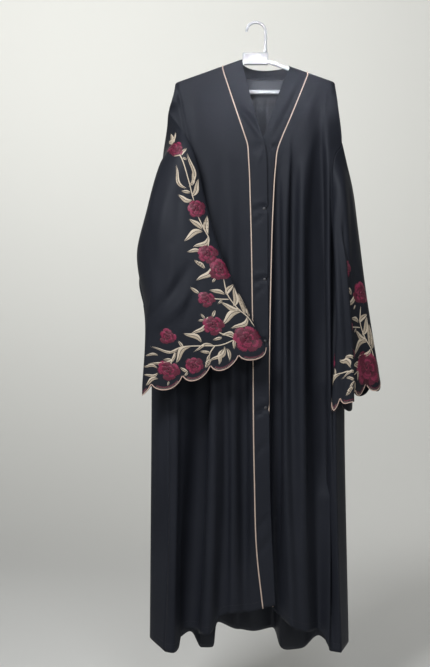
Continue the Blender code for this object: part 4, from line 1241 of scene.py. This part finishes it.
def stitch_strip(work, path, width, height, colour, slant=0.0, taper=True):
    """A line of satin stitch along a path, rounded across; a short path is smoothed first."""
    fine = np.array(path, float)
    if len(fine) < 12:
        places = np.linspace(0, len(fine) - 1, 6 * len(fine) - 5)
        fine = smooth(np.arange(len(fine)), fine, places, loose=True)
    along = unit(np.gradient(fine, axis=0))
    aside = np.column_stack([-along[:, 1], along[:, 0]])
    share = np.linspace(-1.0, 1.0, 5)
    ends = np.ones((len(fine), 1))
    if taper:
        ends = np.clip(np.sin(np.pi * np.linspace(0.04, 0.96, len(fine))) * 3, 0, 1)[:, None]
    spots = fine[:, None] + aside[:, None] * (share * width / 2 * ends)[..., None]
    proud = STRIP_FOOT + height * np.sqrt(1 - share ** 2 * 0.98) * (0.4 + 0.6 * ends)
    thread = (lengths_along(fine)[:, None] + slant * share * width / 2, share * width / 2)
    stitch(work, spots, proud, thread, colour)


def stitch_petal(work, centre, turn, spread, inner, outer, low, high, shades):
    """A petal of a rose: a padded fan from the middle outwards, in bands of long and short stitch."""
    angles = np.linspace(-1.0, 1.0, 11)[:, None]
    reaches = np.linspace(0.0, 1.0, len(shades) + 1) ** 0.85
    edge = outer * (1.0 - 0.06 * angles ** 2 - 0.24 * angles ** 6)
    reach = inner + (edge - inner) * reaches
    reach[:, 1:-1] += 0.035 * outer * np.where(np.arange(len(angles)) % 2, 1.0, -1.0)[:, None]
    angle = turn + spread * angles * (0.86 + 0.14 * reaches)
    spots = centre + np.stack([reach * np.cos(angle), reach * np.sin(angle)], axis=-1)
    dome = np.sin(np.pi * (0.22 + 0.70 * reaches)) ** 0.7
    proud = low + (high - low) * dome * (1.0 - 0.6 * angles ** 4)
    proud[:, -1] = low * 0.9
    stitch(work, spots, proud, (angle * outer * 0.7, reach), shades)


def stitch_rose(work, rose):
    """An open rose: a dark ground, rounds of petals with paler middles, and a coiled heart set to one
    side."""
    s, h, size, turn = rose
    centre, radius = np.array([s, h]) * 0.001, size * 0.001
    heart = centre + radius * 0.12 * np.array([math.cos(2.2 * turn), math.sin(2.2 * turn)])
    stitch_disc(work, centre, radius * 0.93, GROUND_HEIGHT, WINE)
    for level, (count, spread, inner, outer, low, high) in enumerate(ROUNDS):
        middle = centre + (heart - centre) * level / 3
        for k in range(count):
            lean = turn + 0.7 * level + 2 * math.pi * k / count + 0.20 * math.sin(3.1 * k + turn)
            reach = radius * outer * (0.97 + 0.08 * math.sin(2.3 * k + 1.7 * turn + level))
            shades = PETAL_SHADES[(2 * k + level + k // 3) % 4]
            stitch_petal(work, middle, lean, spread, radius * inner, reach, low, high, shades)
    turns = turn + 0.9 * np.arange(9)[:, None]
    coil = heart + radius * (0.04 + 0.02 * (turns - turn)) * np.hstack([np.cos(turns), np.sin(turns)])
    stitch_strip(work, coil, radius * 0.05, HEART_HEIGHT, ROSE)


def scallop_line(sleeve, offset, first, last, scallop):
    """Places along one scallop's arc, at an offset inside its edge."""
    hem = sleeve["around"][sleeve["spare"]:sleeve["spare"] + SLEEVE_COLUMNS + 1, SLEEVE_ROWS]
    shares = np.linspace(first, last, 15)
    columns = (scallop + shares) * SLEEVE_COLUMNS / SCALLOP_COUNT
    arc = np.column_stack([np.interp(columns, np.arange(SLEEVE_COLUMNS + 1), hem),
                           -scallop_drop(shares - 0.5) * SCALLOP_DEPTH])
    along = unit(np.gradient(arc, axis=0))
    return arc + np.column_stack([-along[:, 1], along[:, 0]]) * offset


def moved(shapes, places, shift=0, mirror=1):
    """Shapes whose first pairs of numbers are moved round the sleeve or turned over."""
    return [tuple(mirror * number + shift if k < 2 * places and k % 2 == 0 else number
                  for k, number in enumerate(shape)) for shape in shapes]


def embroider(net, name, leaves, stems, roses):
    """The design of one sleeve, and its border again in mirror image on the half that is turned away. All
    its stitches are laid on the hanging sleeve as one piece."""
    sleeve = flat_sleeve(net)
    work = {"spots": [], "proud": [], "faces": [], "threads": [], "colours": []}
    for scallop in range(SCALLOP_COUNT):
        for offset, first, last, width, height, thread in EDGING:
            stitch_strip(work, scallop_line(sleeve, offset, first, last, scallop), width, height, thread,
                         taper=first > 0.0)
    for stem in stems + moved(BORDER_STEMS, 5, mirror=-1):
        stitch_strip(work, np.reshape(stem, (-1, 2)) * 0.001, STEM_WIDTH, STEM_HEIGHT, STRAW, slant=0.6)
    for leaf in leaves + moved(BORDER_LEAVES, 2, mirror=-1):
        stitch_leaf(work, leaf)
    for rose in roses + moved(BORDER_ROSES, 1, mirror=-1):
        stitch_rose(work, rose)
    spots, proud = np.concatenate(work["spots"]), np.concatenate(work["proud"])
    mesh = bpy.data.meshes.new(name)
    mesh.from_pydata(lay_on(sleeve, spots[:, 0], spots[:, 1], proud).tolist(), [], work["faces"])
    mesh.uv_layers.new(name="thread").data.foreach_set("uv", np.array(work["threads"], np.float32).ravel())
    for finish in threads:
        mesh.materials.append(finish)
    mesh.polygons.foreach_set("material_index", work["colours"])
    mesh.shade_smooth()
    piece = set_up(name, mesh)
    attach(piece, "root")


embroider(np.roll(sleeve_nets["right"][::-1], 1, axis=0), "right_sleeve_embroidery",
          [*VINE_LEAVES, *BUD_LEAVES, *BORDER_LEAVES], [*VINE_STEMS, *BORDER_STEMS],
          [*VINE_ROSES, *BORDER_ROSES])

# The left sleeve carries the lower part of the design, set a little further round from its top line
LEFT_SHIFT = 14
LEFT_TOP = 260
left_leaves = moved([leaf for leaf in VINE_LEAVES if leaf[1] < LEFT_TOP] + [*BORDER_LEAVES], 2, LEFT_SHIFT)
embroider(sleeve_nets["left"], "left_sleeve_embroidery", left_leaves,
          moved(VINE_STEMS[2:] + BORDER_STEMS, 5, LEFT_SHIFT), [*LEFT_ROSES])


# Hem stitching: the hems of the back and of both fronts are turned up and sewn with one row of black
# thread, three stitches to the centimetre, which shows on the outside as a fine dotted line.
HEM_TURN_UP = 0.020
STITCH_PITCH = 0.0033
STITCH_LENGTH = 0.0024
STITCH_RADIUS = 0.00018
STITCH_SIDES = 5
# Places along a stitch, as shares of its length, and how far they stand out of the cloth, as shares of
# its radius
STITCH_PLACES = np.array([0.0, 0.2, 0.5, 0.8, 1.0])
STITCH_RISES = np.array([-0.9, 0.5, 0.8, 0.5, -0.9])

hem_net = bmesh.new()
hem_layout = hem_net.loops.layers.uv.new("thread")
for points, way in ((back_points, 1), (front_points["right"], -1), (front_points["left"], -1)):
    outward = outward_of(points, way)
    heights = lengths_along(points[:, ::-1], 1)
    path, outward = (np.array([read_line(HEM_TURN_UP, *pair) for pair in zip(heights, values[:, ::-1])])
                     for values in (points, outward))
    lengths = lengths_along(path)
    for start in np.arange(STITCH_PITCH, lengths[-1] - STITCH_PITCH, STITCH_PITCH):
        places = start + STITCH_LENGTH * STITCH_PLACES
        spots, out = (read_line(places, lengths, line) for line in (path, unit(outward)))
        spots += out * STITCH_RISES[:, None] * STITCH_RADIUS
        round_cord(hem_net, hem_layout, spots, out, STITCH_RADIUS, STITCH_SIDES)
hem_stitching = add_piece("hem_stitching", hem_net, [black_thread])
